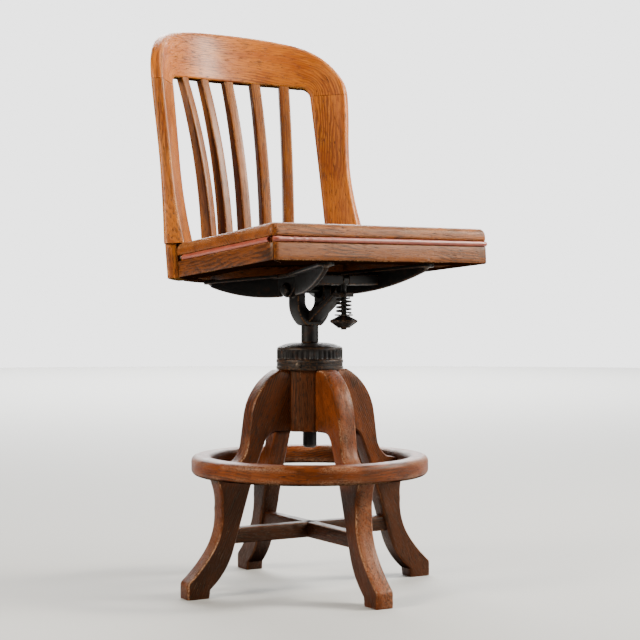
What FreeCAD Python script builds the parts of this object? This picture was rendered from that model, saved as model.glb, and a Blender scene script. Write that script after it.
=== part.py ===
"""High oak swivel stool with a curved slatted back: four-legged base with a foot ring, screw
spindle with a fluted hand wheel, tilting seat on an iron spider.

Base pieces are drawn about the swivel axis, with z = 0 on the floor. Seat pieces are drawn about
the tilt pivot, with the seat level, and are then placed at the seat's rest tilt. Front is -Y.
"""
import FreeCAD, Part
import math
import os
import re
import Sketcher

Vector = FreeCAD.Vector
Placement = FreeCAD.Placement
Rotation = FreeCAD.Rotation
X_AXIS = Vector(1, 0, 0)
Y_AXIS = Vector(0, 1, 0)
Z_AXIS = Vector(0, 0, 1)

# Driving dimensions in millimetres and degrees. A bow is an arc's height over its chord.
SIZES = {
    "swivel_axis_y": -30.0,
    "base_turn": -4.0,
    "seat_tilt": 4.2,
    "joint_gap": 0.1,
    "running_gap": 0.05,
    "free_gap": 0.3,
    "quarter_bow": 0.2071,
    # foot ring
    "ring_outer_radius": 212.0,
    "ring_width": 36.0,
    "ring_height": 34.0,
    "ring_bottom": 203.0,
    "ring_round": 10.0,
    "ring_dowel_radius": 4.0,
    "ring_dowel_place": 181.0,
    "ring_dowel_depth": 10.0,
    # legs, as radius from the axis and height above the floor
    "leg_thickness": 34.0,
    "leg_top_drop": 142.0,
    "leg_shoulder_radius": 69.0,
    "leg_shoulder_bow": 0.125,
    "leg_upper_radius": 127.0,
    "leg_upper_height": 312.0,
    "leg_flare_radius": 134.0,
    "leg_flare_height": 262.0,
    "leg_flare_bow": 0.11,
    "leg_tongue_radius": 155.0,
    "leg_tongue_height": 229.0,
    "leg_tongue_drop": 4.0,
    "leg_ledge_radius": 194.0,
    "leg_ledge_bow": 0.07,
    "leg_waist_radius": 185.0,
    "leg_waist_height": 150.0,
    "leg_waist_bow": 0.09,
    "leg_sweep_radius": 206.0,
    "leg_sweep_height": 75.0,
    "leg_sweep_bow": 0.03,
    "leg_instep_radius": 245.0,
    "leg_instep_height": 32.0,
    "leg_toe_bow": 0.15,
    "leg_toe_radius": 250.0,
    "leg_toe_height": 21.0,
    "leg_heel_radius": 208.0,
    "leg_heel_height": 15.0,
    "leg_heel_rake": 2.0,
    "leg_calf_radius": 160.0,
    "leg_calf_height": 85.0,
    "leg_calf_bow": 0.08,
    "leg_knee_radius": 122.0,
    "leg_knee_height": 208.0,
    "leg_arch_radius": 100.0,
    "leg_arch_height": 264.0,
    "leg_arch_bow": 0.148,
    "leg_arch_start": 74.0,
    # centre column and stretchers
    "column_apothem": 49.0,
    "column_bottom": 281.0,
    "leg_dowel_radius": 6.0,
    "leg_dowel_depth": 16.0,
    "leg_dowel_low_share": 0.25,
    "leg_dowel_high_share": 0.6,
    "stretcher_thickness": 21.0,
    "stretcher_height": 27.0,
    "stretcher_bottom": 90.0,
    "stretcher_reach": 166.0,
    # iron hub
    "flange_radius": 60.0,
    "flange_thickness": 18.0,
    "sleeve_radius": 22.0,
    "sleeve_length": 88.0,
    "washer_radius": 30.0,
    "washer_thickness": 3.3,
    "hub_screw_radius": 2.4,
    "hub_screw_head": 4.5,
    "hub_screw_head_depth": 3.0,
    "hub_screw_length": 30.0,
    "hub_screw_place": 54.5,
    "lock_screw_radius": 3.0,
    "lock_screw_head": 4.5,
    "lock_screw_head_height": 3.0,
    "lock_screw_depth": 12.0,
    "lock_screw_angle": 220.0,
    # hand wheel
    "wheel_radius": 59.0,
    "wheel_skirt": 20.0,
    "wheel_height": 29.0,
    "wheel_boss_radius": 24.0,
    "wheel_dome_bow": 0.13,
    "flute_radius": 3.0,
    "flute_inset": 0.8,
    "flute_height": 16.0,
    "flute_count": 40,
    # spindle and yoke
    "spindle_radius": 12.5,
    "spindle_bottom_drop": 282.0,
    "spindle_end_round": 5.0,
    "spindle_top_drop": 68.0,
    "shank_radius": 15.5,
    "pivot_height": 532.0,
    "pivot_radius": 6.0,
    "yoke_half_width": 36.0,
    "yoke_depth": 32.0,
    "yoke_neck_drop": 64.0,
    "yoke_spread_drop": 24.0,
    "yoke_spread_bow": 0.12,
    "yoke_gap_half": 19.0,
    "yoke_gap_bottom_drop": 39.0,
    "yoke_gap_shoulder_drop": 20.0,
    "yoke_gap_bow": 0.207,
    "yoke_boss_radius": 16.0,
    # lug of the yoke, tension rod, spring and knob
    "lug_width": 28.0,
    "lug_bottom_drop": 13.0,
    "lug_thickness": 8.0,
    "lug_reach": 122.0,
    "lug_flat": 34.0,
    "lug_root_bottom_drop": 59.0,
    "lug_root_top_drop": 40.0,
    "lug_root_inset": 10.0,
    "slot_radius": 6.0,
    "slot_travel": 5.0,
    "rod_pin_y": -106.0,
    "rod_pin_z": 9.0,
    "rod_pin_radius": 3.5,
    "rod_pin_half": 20.0,
    "rod_radius": 5.0,
    "rod_eye_radius": 8.5,
    "rod_eye_width": 12.0,
    "spring_length": 30.0,
    "spring_radius": 12.5,
    "spring_wire": 3.0,
    "spring_turns": 4,
    "spring_washer_radius": 16.0,
    "spring_washer_thickness": 2.5,
    "knob_radius": 24.0,
    "knob_height": 21.0,
    "knob_neck_radius": 11.0,
    "knob_scallop_radius": 9.0,
    "knob_scallop_place": 30.0,
    "knob_scallops": 6,
    "rod_end": 3.0,
    # seat, about the tilt pivot
    "rim_bottom": 29.0,
    "rim_height": 30.0,
    "rail_width": 46.0,
    "slab_thickness": 32.0,
    "slab_round": 11.0,
    "seat_front_y": -231.0,
    "seat_front_half": 226.0,
    "seat_post_half": 208.0,
    "seat_post_y": 120.0,
    "seat_rear_y": 232.0,
    "seat_corner": 12.0,
    "mitre_inner_half": 150.0,
    "dish_radius": 1400.0,
    "dish_depth": 6.0,
    "dish_centre_y": -20.0,
    "bead_radius": 4.5,
    "bead_inset": 1.5,
    "bead_end_y": 84.0,
    "bead_break": 13.0,
    "groove_depth": 6.5,
    "tack_radius": 3.0,
    "tack_length": 14.0,
    # back
    "back_curve_radius": 258.0,
    "back_thickness": 23.0,
    "back_low_y": 209.5,
    "back_middle_y": 230.5,
    "back_top_y": 259.0,
    "back_middle_height": 275.0,
    "back_top_height": 520.0,
    "back_half_share": 0.93,
    "fan_distance": 180.0,
    "fan_near": 0.6,
    "fan_far": 1.75,
    "crest_half": 232.0,
    "crest_joint_height": 396.0,
    "crest_low_height": 412.0,
    "crest_low_corner": 20.0,
    "crest_low_bow": 0.04,
    "crest_turn_half": 224.0,
    "crest_turn_height": 432.0,
    "crest_turn_bow": 0.092,
    "crest_corner_half": 116.0,
    "crest_corner_height": 506.0,
    "crest_corner_bow": 0.078,
    "crest_crown_bow": 0.069,
    "post_inner_top": 162.0,
    "post_inner_low": 166.5,
    "post_middle_half": 221.5,
    "post_middle_height": 250.0,
    "post_flare_half": 243.0,
    "post_flare_bow": 0.06,
    "post_forward": 14.0,
    "post_foot_half": 237.0,
    "foot_inset": 1.0,
    "foot_stub": 4.0,
    "post_dowel_radius": 5.0,
    "post_dowel_half_length": 18.0,
    "slat_width": 20.0,
    "slat_low_thickness": 27.0,
    "slat_top_thickness": 14.0,
    "slat_low_behind": -1.0,
    "slat_inset": 5.0,
    "slat_bow": 0.04,
    "slat_tenon": 12.0,
    "slat_low_pitch": 45.0,
    "slat_top_pitch": 57.5,
    "post_screw_radius": 2.5,
    "post_screw_head": 5.0,
    "post_screw_head_height": 2.5,
    "post_screw_length": 45.0,
    "post_screw_half": 198.0,
    # iron spider under the seat
    "cheek_inner": 40.0,
    "cheek_outer": 50.0,
    "cheek_half_length": 46.0,
    "cheek_drop": 19.0,
    "cheek_side": 18.0,
    "cheek_side_height": -6.0,
    "plate_thickness": 8.0,
    "plate_half_width": 54.0,
    "arm_root_x": 44.0,
    "arm_root_y": 24.0,
    "arm_tip_x": 105.0,
    "arm_front_y": -204.0,
    "arm_rear_y": 166.0,
    "arm_web": 9.0,
    "arm_depth": 40.0,
    "arm_tip_depth": 6.0,
    "arm_bow": 0.05,
    "arm_strap_width": 28.0,
    "arm_strap_thickness": 6.0,
    "bar_depth": 16.0,
    "bar_height": 18.0,
    "bar_half_length": 72.0,
    "pivot_half_length": 58.0,
    "pivot_head_radius": 10.0,
    "nut_across": 20.0,
    "nut_thickness": 8.0,
    "spider_screw_radius": 2.5,
    "spider_screw_head": 6.0,
    "spider_screw_head_height": 3.0,
    "spider_screw_length": 24.0,
}

doc = FreeCAD.newDocument("swivel_stool")
# Places that follow from the sizes: the swivel ironwork hangs from the pivot, the legs end under it
PLACES = {
    "leg_top": "pivot_height - leg_top_drop",
    "leg_dowel_low": "column_bottom + leg_dowel_low_share * (leg_top - column_bottom)",
    "leg_dowel_high": "column_bottom + leg_dowel_high_share * (leg_top - column_bottom)",
    "spindle_bottom": "pivot_height - spindle_bottom_drop",
    "spindle_top": "pivot_height - spindle_top_drop",
    "yoke_neck_height": "pivot_height - yoke_neck_drop",
    "yoke_spread_height": "pivot_height - yoke_spread_drop",
    "yoke_gap_bottom": "pivot_height - yoke_gap_bottom_drop",
    "yoke_gap_shoulder": "pivot_height - yoke_gap_shoulder_drop",
    "lug_bottom": "pivot_height - lug_bottom_drop",
    "lug_root_bottom": "pivot_height - lug_root_bottom_drop",
    "lug_root_top": "pivot_height - lug_root_top_drop",
    "back_half": "back_curve_radius * back_half_share",
}

sheet = doc.addObject("Spreadsheet::Sheet", "Sizes")
cells = {**SIZES, **{alias: "=" + text for alias, text in PLACES.items()}}
for row, (alias, content) in enumerate(cells.items(), start=1):
    sheet.set(f"A{row}", alias.replace("_", " "))
    sheet.set(f"B{row}", str(content))
    sheet.setAlias(f"B{row}", alias)
doc.recompute()

ALIAS = re.compile(r"\b(" + "|".join(cells) + r")\b")
NODES = []


def bound(text):
    """The expression with each size named in it tied to its cell."""
    return ALIAS.sub(r"Sizes.\1", text)


def number(text):
    """The expression's value now."""
    return float(sheet.evalExpression(bound(text)))


def tie(thing, prop, text):
    """Binds a property to an expression of the sizes."""
    thing.setExpression(prop, bound(text))


def node(thing, label, place):
    """Names a finished sub-part, places it and lists it for export."""
    thing.Label = label
    thing.Placement = place
    NODES.append(thing)
    return thing


def new_body(name):
    return doc.addObject("PartDesign::Body", name + "_body")


def origin_feature(body, role):
    """The plane or axis of the body's own origin with that role."""
    return [feature for feature in body.Origin.OriginFeatures if feature.Role == role][0]


def new_sketch(body, role, name, height="0"):
    """A sketch on one of the body's origin planes, lifted along that plane's normal."""
    sketch = body.newObject("Sketcher::SketchObject", name)
    sketch.AttachmentSupport = [(origin_feature(body, role), "")]
    sketch.MapMode = "FlatFace"
    tie(sketch, "AttachmentOffset.Base.z", height)
    return sketch


def hold(sketch, geometry, place, x, y):
    """Ties a point's two distances from the sketch origin to the sizes."""
    for kind, text in (("DistanceX", x), ("DistanceY", y)):
        index = sketch.addConstraint(Sketcher.Constraint(kind, -1, 1, geometry, place, number(text)))
        tie(sketch, f"Constraints[{index}]", text)


def arc_middle(corner, following):
    """Where the arc from a corner to the next passes: given outright, or from its bow.

    A bow above zero bulges to the right of the way along the outline, which is outwards.
    """
    if len(corner) == 4:
        return corner[2], corner[3]
    (ax, ay, bow), (bx, by) = corner, following[:2]
    return (f"(({ax}) + ({bx})) / 2 + ({bow}) * (({by}) - ({ay}))",
            f"(({ay}) + ({by})) / 2 - ({bow}) * (({bx}) - ({ax}))")


def outline(sketch, corners):
    """Draws a closed outline anticlockwise. A corner is (x, y), with a bow or a middle for an arc."""
    points = [Vector(number(corner[0]), number(corner[1]), 0) for corner in corners]
    count = len(corners)
    first = sketch.GeometryCount
    ends = []
    middles = {}
    for index, corner in enumerate(corners):
        after = (index + 1) % count
        if len(corner) == 2:
            sketch.addGeometry(Part.LineSegment(points[index], points[after]), False)
            ends.append((1, 2))
            continue
        middles[index] = arc_middle(corner, corners[after])
        middle = Vector(number(middles[index][0]), number(middles[index][1]), 0)
        left_turn = (middle - points[index]).cross(points[after] - middle).z > 0
        if left_turn:
            sketch.addGeometry(Part.Arc(points[index], middle, points[after]), False)
            ends.append((1, 2))
        else:
            sketch.addGeometry(Part.Arc(points[after], middle, points[index]), False)
            ends.append((2, 1))
    for index, corner in enumerate(corners):
        after = (index + 1) % count
        sketch.addConstraint(Sketcher.Constraint(
            "Coincident", first + index, ends[index][1], first + after, ends[after][0]))
        hold(sketch, first + index, ends[index][0], corner[0], corner[1])
        if index in middles:
            x, y = middles[index]
            point = sketch.addGeometry(Part.Point(Vector(number(x), number(y), 0)), True)
            hold(sketch, point, 1, x, y)
            sketch.addConstraint(Sketcher.Constraint("PointOnObject", point, 1, first + index))


def circle(sketch, x, y, radius):
    """Draws a circle held by its centre and radius."""
    centre = Vector(number(x), number(y), 0)
    index = sketch.addGeometry(Part.Circle(centre, Z_AXIS, number(radius)), False)
    hold(sketch, index, 3, x, y)
    constraint = sketch.addConstraint(Sketcher.Constraint("Radius", index, number(radius)))
    tie(sketch, f"Constraints[{constraint}]", radius)


def rectangle(sketch, low_x, low_y, high_x, high_y):
    outline(sketch, [(low_x, low_y), (high_x, low_y), (high_x, high_y), (low_x, high_y)])


def pad(body, sketch, length, both_ways=False, backwards=False):
    """Pads a sketch along its normal, or evenly to both sides of it."""
    feature = body.newObject("PartDesign::Pad", sketch.Name + "_pad")
    feature.Profile = sketch
    feature.Midplane = both_ways
    feature.Reversed = backwards
    tie(feature, "Length", length)
    return feature


def pocket(body, sketch, length, both_ways=False, forwards=False):
    """Cuts a sketch against its normal, along it, or evenly both ways."""
    feature = body.newObject("PartDesign::Pocket", sketch.Name + "_pocket")
    feature.Profile = sketch
    feature.Midplane = both_ways
    feature.Reversed = forwards
    tie(feature, "Length", length)
    return feature


def revolution(body, sketch):
    """Turns a sketch on the XZ plane about the body's Z axis."""
    feature = body.newObject("PartDesign::Revolution", sketch.Name + "_turned")
    feature.Profile = sketch
    feature.ReferenceAxis = (sketch, ["V_Axis"])
    feature.Angle = 360
    return feature


def polar(body, original, count):
    """Repeats a feature evenly round the body's Z axis."""
    feature = body.newObject("PartDesign::PolarPattern", original.Name + "_round")
    feature.Originals = [original]
    feature.Axis = (origin_feature(body, "Z_Axis"), [""])
    feature.Angle = 360
    tie(feature, "Occurrences", count)
    body.Tip = feature
    return feature


def turned(name, corners):
    """A body turned about Z from its half section, as radius and height."""
    body = new_body(name)
    sketch = new_sketch(body, "XZ_Plane", name + "_section")
    outline(sketch, corners)
    revolution(body, sketch)
    return body


def ring_section(inner, outer, bottom, top):
    return [(inner, bottom), (outer, bottom), (outer, top), (inner, top)]


def peg(name, radius, length, base, direction):
    """A round peg from a point along a direction."""
    cylinder = doc.addObject("Part::Cylinder", name)
    tie(cylinder, "Radius", radius)
    tie(cylinder, "Height", length)
    cylinder.Placement = Placement(base, Rotation(Z_AXIS, direction))
    return cylinder


def screw(name, size, head, base, direction):
    """A plain screw: head behind the base point, shank along the direction."""
    shank = peg(name + "_shank", size + "_radius", size + "_length", base, direction)
    cap = peg(name + "_head", size + "_head", head, base, direction * -1)
    joined = doc.addObject("Part::Fuse", name)
    joined.Base = shank
    joined.Tool = cap
    return joined


def group(name, pieces):
    compound = doc.addObject("Part::Compound", name)
    compound.Links = pieces
    return compound


def boolean(kind, name, base, tool):
    result = doc.addObject("Part::" + kind, name)
    result.Base = base
    result.Tool = tool
    return result


def polar_point(radius, degrees, height):
    angle = math.radians(degrees)
    return Vector(radius * math.cos(angle), radius * math.sin(angle), height)


AXIS_PLACE = Placement(Vector(0, number("swivel_axis_y"), 0), Rotation())
BASE_PLACE = Placement(AXIS_PLACE.Base, Rotation(Z_AXIS, number("base_turn")))
SEAT_PLACE = Placement(
    Vector(0, number("swivel_axis_y"), number("pivot_height")), Rotation(X_AXIS, -number("seat_tilt")))
NO_PLACE = Placement()
QUARTERS = (0, 90, 180, 270)
LEG_NAMES = {-90: "leg_front", 0: "leg_right", 90: "leg_back", 180: "leg_left"}


# Legs: sawn boards round the column, each with a ledge for the foot ring
LEDGE_WALL = "(sqrt((ring_outer_radius - ring_width)^2 - (leg_thickness / 2)^2) - free_gap)"
LEG_OUTLINE = [
    ("leg_heel_radius", "0"),
    ("leg_toe_radius", "0"),
    ("leg_toe_radius", "leg_toe_height", "leg_toe_bow"),
    ("leg_instep_radius", "leg_instep_height", "-leg_sweep_bow"),
    ("leg_sweep_radius", "leg_sweep_height", "-leg_waist_bow"),
    ("leg_waist_radius", "leg_waist_height", "-leg_ledge_bow"),
    ("leg_ledge_radius", "ring_bottom"),
    (LEDGE_WALL, "ring_bottom"),
    (LEDGE_WALL, "leg_tongue_height - leg_tongue_drop"),
    ("leg_tongue_radius", "leg_tongue_height", "-leg_flare_bow"),
    ("leg_flare_radius", "leg_flare_height"),
    ("leg_upper_radius", "leg_upper_height", "leg_shoulder_bow"),
    ("leg_shoulder_radius", "leg_top"),
    ("column_apothem", "leg_top"),
    ("column_apothem", "column_bottom"),
    ("leg_arch_start", "column_bottom", "-leg_arch_bow"),
    ("leg_arch_radius", "leg_arch_height"),
    ("leg_knee_radius", "leg_knee_height"),
    ("leg_calf_radius", "leg_calf_height", "leg_calf_bow"),
    ("leg_heel_radius - leg_heel_rake", "leg_heel_height"),
]


def make_leg(name, angle):
    """One leg board, mortised for its stretcher and bored for dowels and the hub screw."""
    body = new_body(name)
    side = new_sketch(body, "XZ_Plane", name + "_side")
    outline(side, LEG_OUTLINE)
    pad(body, side, "leg_thickness", both_ways=True)
    mortise = new_sketch(body, "YZ_Plane", name + "_mortise")
    rectangle(mortise, "-stretcher_thickness / 2 - joint_gap", "stretcher_bottom - joint_gap",
              "stretcher_thickness / 2 + joint_gap", "stretcher_bottom + stretcher_height + joint_gap")
    pocket(body, mortise, "stretcher_reach + joint_gap", forwards=True)
    dowels = new_sketch(body, "YZ_Plane", name + "_dowel_holes")
    circle(dowels, "0", "leg_dowel_low", "leg_dowel_radius")
    circle(dowels, "0", "leg_dowel_high", "leg_dowel_radius")
    pocket(body, dowels, "column_apothem + leg_dowel_depth", forwards=True)
    seat_hole = new_sketch(body, "XY_Plane", name + "_ring_hole", "ring_bottom")
    circle(seat_hole, "ring_dowel_place", "0", "ring_dowel_radius")
    pocket(body, seat_hole, "ring_dowel_depth")
    screw_hole = new_sketch(body, "XY_Plane", name + "_screw_hole", "leg_top")
    circle(screw_hole, "hub_screw_place", "0", "hub_screw_radius")
    pocket(body, screw_hole, "hub_screw_length + hub_screw_head_depth - flange_thickness")
    turn = Rotation(Z_AXIS, number("base_turn") + angle)
    node(body, name, Placement(AXIS_PLACE.Base, turn))


for leg_angle, leg_name in LEG_NAMES.items():
    make_leg(leg_name, leg_angle)


# Foot ring: bent wood with rounded edges, resting on the ledges of the legs
def make_foot_ring():
    body = new_body("foot_ring")
    section = new_sketch(body, "XZ_Plane", "ring_section")
    inner = "ring_outer_radius - ring_width"
    outer = "ring_outer_radius"
    top = "ring_bottom + ring_height"
    outline(section, [
        (f"{inner} + ring_round", "ring_bottom"),
        (f"{outer} - ring_round", "ring_bottom", "quarter_bow"),
        (outer, "ring_bottom + ring_round"),
        (outer, f"{top} - ring_round", "quarter_bow"),
        (f"{outer} - ring_round", top),
        (f"{inner} + ring_round", top, "quarter_bow"),
        (inner, f"{top} - ring_round"),
        (inner, "ring_bottom + ring_round", "quarter_bow"),
    ])
    revolution(body, section)
    hole = new_sketch(body, "XY_Plane", "ring_hole", "ring_bottom")
    circle(hole, "ring_dowel_place", "0", "ring_dowel_radius")
    drilled = pocket(body, hole, "ring_dowel_depth", forwards=True)
    polar(body, drilled, "4")
    node(body, "foot_ring", BASE_PLACE)


make_foot_ring()
ring_dowels = [
    peg(f"ring_dowel_{angle}", "ring_dowel_radius", "2 * ring_dowel_depth",
        polar_point(number("ring_dowel_place"), angle, number("ring_bottom - ring_dowel_depth")), Z_AXIS)
    for angle in QUARTERS]
node(group("ring_dowel_set", ring_dowels), "ring_dowels", BASE_PLACE)


# Centre column: an octagon whose flats take the legs, bored for the hub's sleeve
def make_column():
    body = new_body("centre_column")
    plan = new_sketch(body, "XY_Plane", "column_plan", "column_bottom")
    flat = "column_apothem"
    half = "column_apothem * (sqrt(2) - 1)"
    outline(plan, [
        (flat, f"-{half}"), (flat, half), (half, flat), (f"-{half}", flat),
        (f"-{flat}", half), (f"-{flat}", f"-{half}"), (f"-{half}", f"-{flat}"), (half, f"-{flat}")])
    pad(body, plan, "leg_top - column_bottom")
    bore = new_sketch(body, "XY_Plane", "column_bore", "leg_top")
    circle(bore, "0", "0", "sleeve_radius + free_gap")
    pocket(body, bore, "leg_top - column_bottom")
    dowels = new_sketch(body, "YZ_Plane", "column_dowel_holes", "column_apothem")
    circle(dowels, "0", "leg_dowel_low", "leg_dowel_radius")
    circle(dowels, "0", "leg_dowel_high", "leg_dowel_radius")
    drilled = pocket(body, dowels, "leg_dowel_depth")
    polar(body, drilled, "4")
    node(body, "centre_column", BASE_PLACE)


make_column()
leg_dowels = [
    peg(f"leg_dowel_{height}_{angle}", "leg_dowel_radius", "2 * leg_dowel_depth",
        polar_point(number("column_apothem - leg_dowel_depth"), angle, number(height)),
        polar_point(1, angle, 0))
    for angle in QUARTERS for height in ("leg_dowel_low", "leg_dowel_high")]
node(group("leg_dowel_set", leg_dowels), "leg_dowels", BASE_PLACE)


# Stretchers: two bars halved over each other under the axis, housed in the legs
def make_stretcher(name, quarter_turn, notch_bottom):
    body = new_body(name)
    bar = new_sketch(body, "XY_Plane", name + "_plan", "stretcher_bottom")
    rectangle(bar, "-stretcher_reach", "-stretcher_thickness / 2",
              "stretcher_reach", "stretcher_thickness / 2")
    pad(body, bar, "stretcher_height")
    lap = new_sketch(body, "XZ_Plane", name + "_lap")
    rectangle(lap, "-stretcher_thickness / 2", notch_bottom,
              "stretcher_thickness / 2", f"{notch_bottom} + stretcher_height / 2")
    pocket(body, lap, "2 * stretcher_thickness", both_ways=True)
    turn = Rotation(Z_AXIS, number("base_turn") + quarter_turn)
    node(body, name, Placement(AXIS_PLACE.Base, turn))


make_stretcher("stretcher_side", 0, "stretcher_bottom + stretcher_height / 2")
make_stretcher("stretcher_fore_aft", 90, "stretcher_bottom")


# Hub: flange on the leg tops with a sleeve down the column, and the lock screw in its rim
FLANGE_TOP = "(leg_top + flange_thickness)"
SPINDLE_BORE = "(spindle_radius + running_gap)"
WASHER_SEAT = f"({FLANGE_TOP} + free_gap - washer_thickness)"


def make_hub_flange():
    body = turned("hub_flange", [
        (SPINDLE_BORE, "leg_top - sleeve_length"),
        ("sleeve_radius", "leg_top - sleeve_length"),
        ("sleeve_radius", "leg_top"),
        ("flange_radius", "leg_top"),
        ("flange_radius", FLANGE_TOP),
        ("washer_radius + free_gap", FLANGE_TOP),
        ("washer_radius + free_gap", WASHER_SEAT),
        (SPINDLE_BORE, WASHER_SEAT),
    ])
    head = new_sketch(body, "XY_Plane", "hub_screw_head_hole", FLANGE_TOP)
    circle(head, "hub_screw_place", "0", "hub_screw_head")
    polar(body, pocket(body, head, "hub_screw_head_depth"), "4")
    shank = new_sketch(body, "XY_Plane", "hub_screw_shank_hole", FLANGE_TOP)
    circle(shank, "hub_screw_place", "0", "hub_screw_radius")
    polar(body, pocket(body, shank, "flange_thickness"), "4")
    drilled = doc.addObject("Part::Cut", "hub_flange_drilled")
    drilled.Base = body
    drilled.Tool = lock_screw_shank
    node(drilled, "hub_flange", BASE_PLACE)


lock_angle = number("lock_screw_angle")
lock_height = number("leg_top + flange_thickness / 2")
lock_base = polar_point(number("flange_radius"), lock_angle, lock_height)
lock_inwards = polar_point(-1, lock_angle, 0)
lock_screw_shank = peg("lock_screw_shank", "lock_screw_radius", "lock_screw_depth", lock_base, lock_inwards)
lock_screw_head = peg("lock_screw_cap", "lock_screw_head", "lock_screw_head_height",
                      lock_base, lock_inwards * -1)
make_hub_flange()
node(boolean("Fuse", "lock_screw", lock_screw_shank, lock_screw_head), "hub_lock_screw", BASE_PLACE)

hub_screws = []
for angle in QUARTERS:
    head_top = polar_point(number("hub_screw_place"), angle, number(FLANGE_TOP))
    shank = peg(f"hub_screw_{angle}_shank", "hub_screw_radius", "hub_screw_length + hub_screw_head_depth",
                head_top, Z_AXIS * -1)
    cap = peg(f"hub_screw_{angle}_head", "hub_screw_head", "hub_screw_head_depth", head_top, Z_AXIS * -1)
    hub_screws.append(boolean("Fuse", f"hub_screw_{angle}", shank, cap))
node(group("hub_screw_set", hub_screws), "hub_screws", BASE_PLACE)


# Thrust washer, hand wheel and spindle on the swivel axis
WHEEL_BOTTOM = f"({FLANGE_TOP} + free_gap)"
WHEEL_TOP = f"({WHEEL_BOTTOM} + wheel_height)"
thrust_washer = turned("thrust_washer", ring_section(SPINDLE_BORE, "washer_radius", WASHER_SEAT, WHEEL_BOTTOM))
node(thrust_washer, "thrust_washer", AXIS_PLACE)


def make_hand_wheel():
    body = turned("hand_wheel", [
        (SPINDLE_BORE, WHEEL_BOTTOM),
        ("wheel_radius", WHEEL_BOTTOM),
        ("wheel_radius", f"{WHEEL_BOTTOM} + wheel_skirt", "wheel_dome_bow"),
        ("wheel_boss_radius", WHEEL_TOP),
        (SPINDLE_BORE, WHEEL_TOP),
    ])
    flute = new_sketch(body, "XY_Plane", "flute", WHEEL_BOTTOM)
    circle(flute, "wheel_radius + flute_inset", "0", "flute_radius")
    polar(body, pocket(body, flute, "flute_height", forwards=True), "flute_count")
    node(body, "hand_wheel", AXIS_PLACE)


make_hand_wheel()
node(turned("screw_spindle", [
    ("0", "spindle_bottom"),
    ("spindle_radius - spindle_end_round", "spindle_bottom", "quarter_bow"),
    ("spindle_radius", "spindle_bottom + spindle_end_round"),
    ("spindle_radius", "spindle_top"),
    ("0", "spindle_top"),
]), "screw_spindle", AXIS_PLACE)


# Tilt yoke: shank, open fork with pivot bosses, and the forward lug that the spring bears on
def make_tilt_yoke():
    body = new_body("tilt_yoke")
    front = new_sketch(body, "XZ_Plane", "fork_front")
    outline(front, [
        ("-shank_radius", "yoke_neck_height"),
        ("shank_radius", "yoke_neck_height", "-yoke_spread_bow"),
        ("yoke_half_width", "yoke_spread_height"),
        ("yoke_half_width", "pivot_height"),
        ("-yoke_half_width", "pivot_height"),
        ("-yoke_half_width", "yoke_spread_height", "-yoke_spread_bow"),
    ])
    pad(body, front, "yoke_depth", both_ways=True)
    shank = new_sketch(body, "XY_Plane", "shank_plan", f"{WHEEL_TOP} + free_gap")
    circle(shank, "0", "0", "shank_radius")
    pad(body, shank, f"yoke_gap_bottom - {WHEEL_TOP} - free_gap")
    boss = new_sketch(body, "YZ_Plane", "boss_side")
    circle(boss, "0", "pivot_height", "yoke_boss_radius")
    pad(body, boss, "2 * yoke_half_width", both_ways=True)
    lug = new_sketch(body, "YZ_Plane", "lug_side")
    outline(lug, [
        ("-lug_reach", "lug_bottom"),
        ("lug_flat - lug_reach", "lug_bottom"),
        ("-lug_root_inset", "lug_root_bottom"),
        ("-lug_root_inset", "lug_root_top"),
        ("lug_flat - lug_reach", "lug_bottom + lug_thickness"),
        ("-lug_reach", "lug_bottom + lug_thickness"),
    ])
    pad(body, lug, "lug_width", both_ways=True)
    gap = new_sketch(body, "XZ_Plane", "fork_gap")
    open_top = "pivot_height + 2 * yoke_boss_radius"
    outline(gap, [
        ("0", "yoke_gap_bottom", "yoke_gap_bow"),
        ("yoke_gap_half", "yoke_gap_shoulder"),
        ("yoke_gap_half", open_top),
        ("-yoke_gap_half", open_top),
        ("-yoke_gap_half", "yoke_gap_shoulder", "yoke_gap_bow"),
    ])
    pocket(body, gap, "yoke_depth", both_ways=True)
    bore = new_sketch(body, "YZ_Plane", "pivot_bore")
    circle(bore, "0", "pivot_height", "pivot_radius + running_gap")
    pocket(body, bore, "4 * yoke_half_width", both_ways=True)
    socket = new_sketch(body, "XY_Plane", "spindle_socket", WHEEL_TOP)
    circle(socket, "0", "0", SPINDLE_BORE)
    pocket(body, socket, f"spindle_top - {WHEEL_TOP}", forwards=True)
    slot = new_sketch(body, "XY_Plane", "rod_slot", "lug_bottom")
    near, far = f"{ROD_Y:.4f} + slot_travel", f"{ROD_Y:.4f}"
    outline(slot, [
        ("slot_radius", far), ("slot_radius", near, "0", f"{near} + slot_radius"),
        ("-slot_radius", near), ("-slot_radius", far, "0", f"{far} - slot_radius")])
    pocket(body, slot, "2 * lug_thickness", both_ways=True, forwards=True)
    node(body, "tilt_yoke", AXIS_PLACE)


# The rod's upper pin sits on the tilting seat, so its height over the axis follows the rest tilt
TILT = math.radians(number("seat_tilt"))
ROD_Y = number("rod_pin_y") * math.cos(TILT) + number("rod_pin_z") * math.sin(TILT)
ROD_Z = (number("pivot_height") + number("rod_pin_z") * math.cos(TILT)
         - number("rod_pin_y") * math.sin(TILT))
ROD_PLACE = Placement(Vector(0, number("swivel_axis_y") + ROD_Y, 0), Rotation())
ROD_PIN_HEIGHT = f"{ROD_Z:.4f}"
make_tilt_yoke()

# Tension rod with its eye, spring, washer and knob, hung from the spider's cross bar
SPRING_LOW = "(lug_bottom - spring_length)"
KNOB_TOP = f"({SPRING_LOW} - spring_washer_thickness - free_gap)"
KNOB_BOTTOM = f"({KNOB_TOP} - knob_height)"


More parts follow.
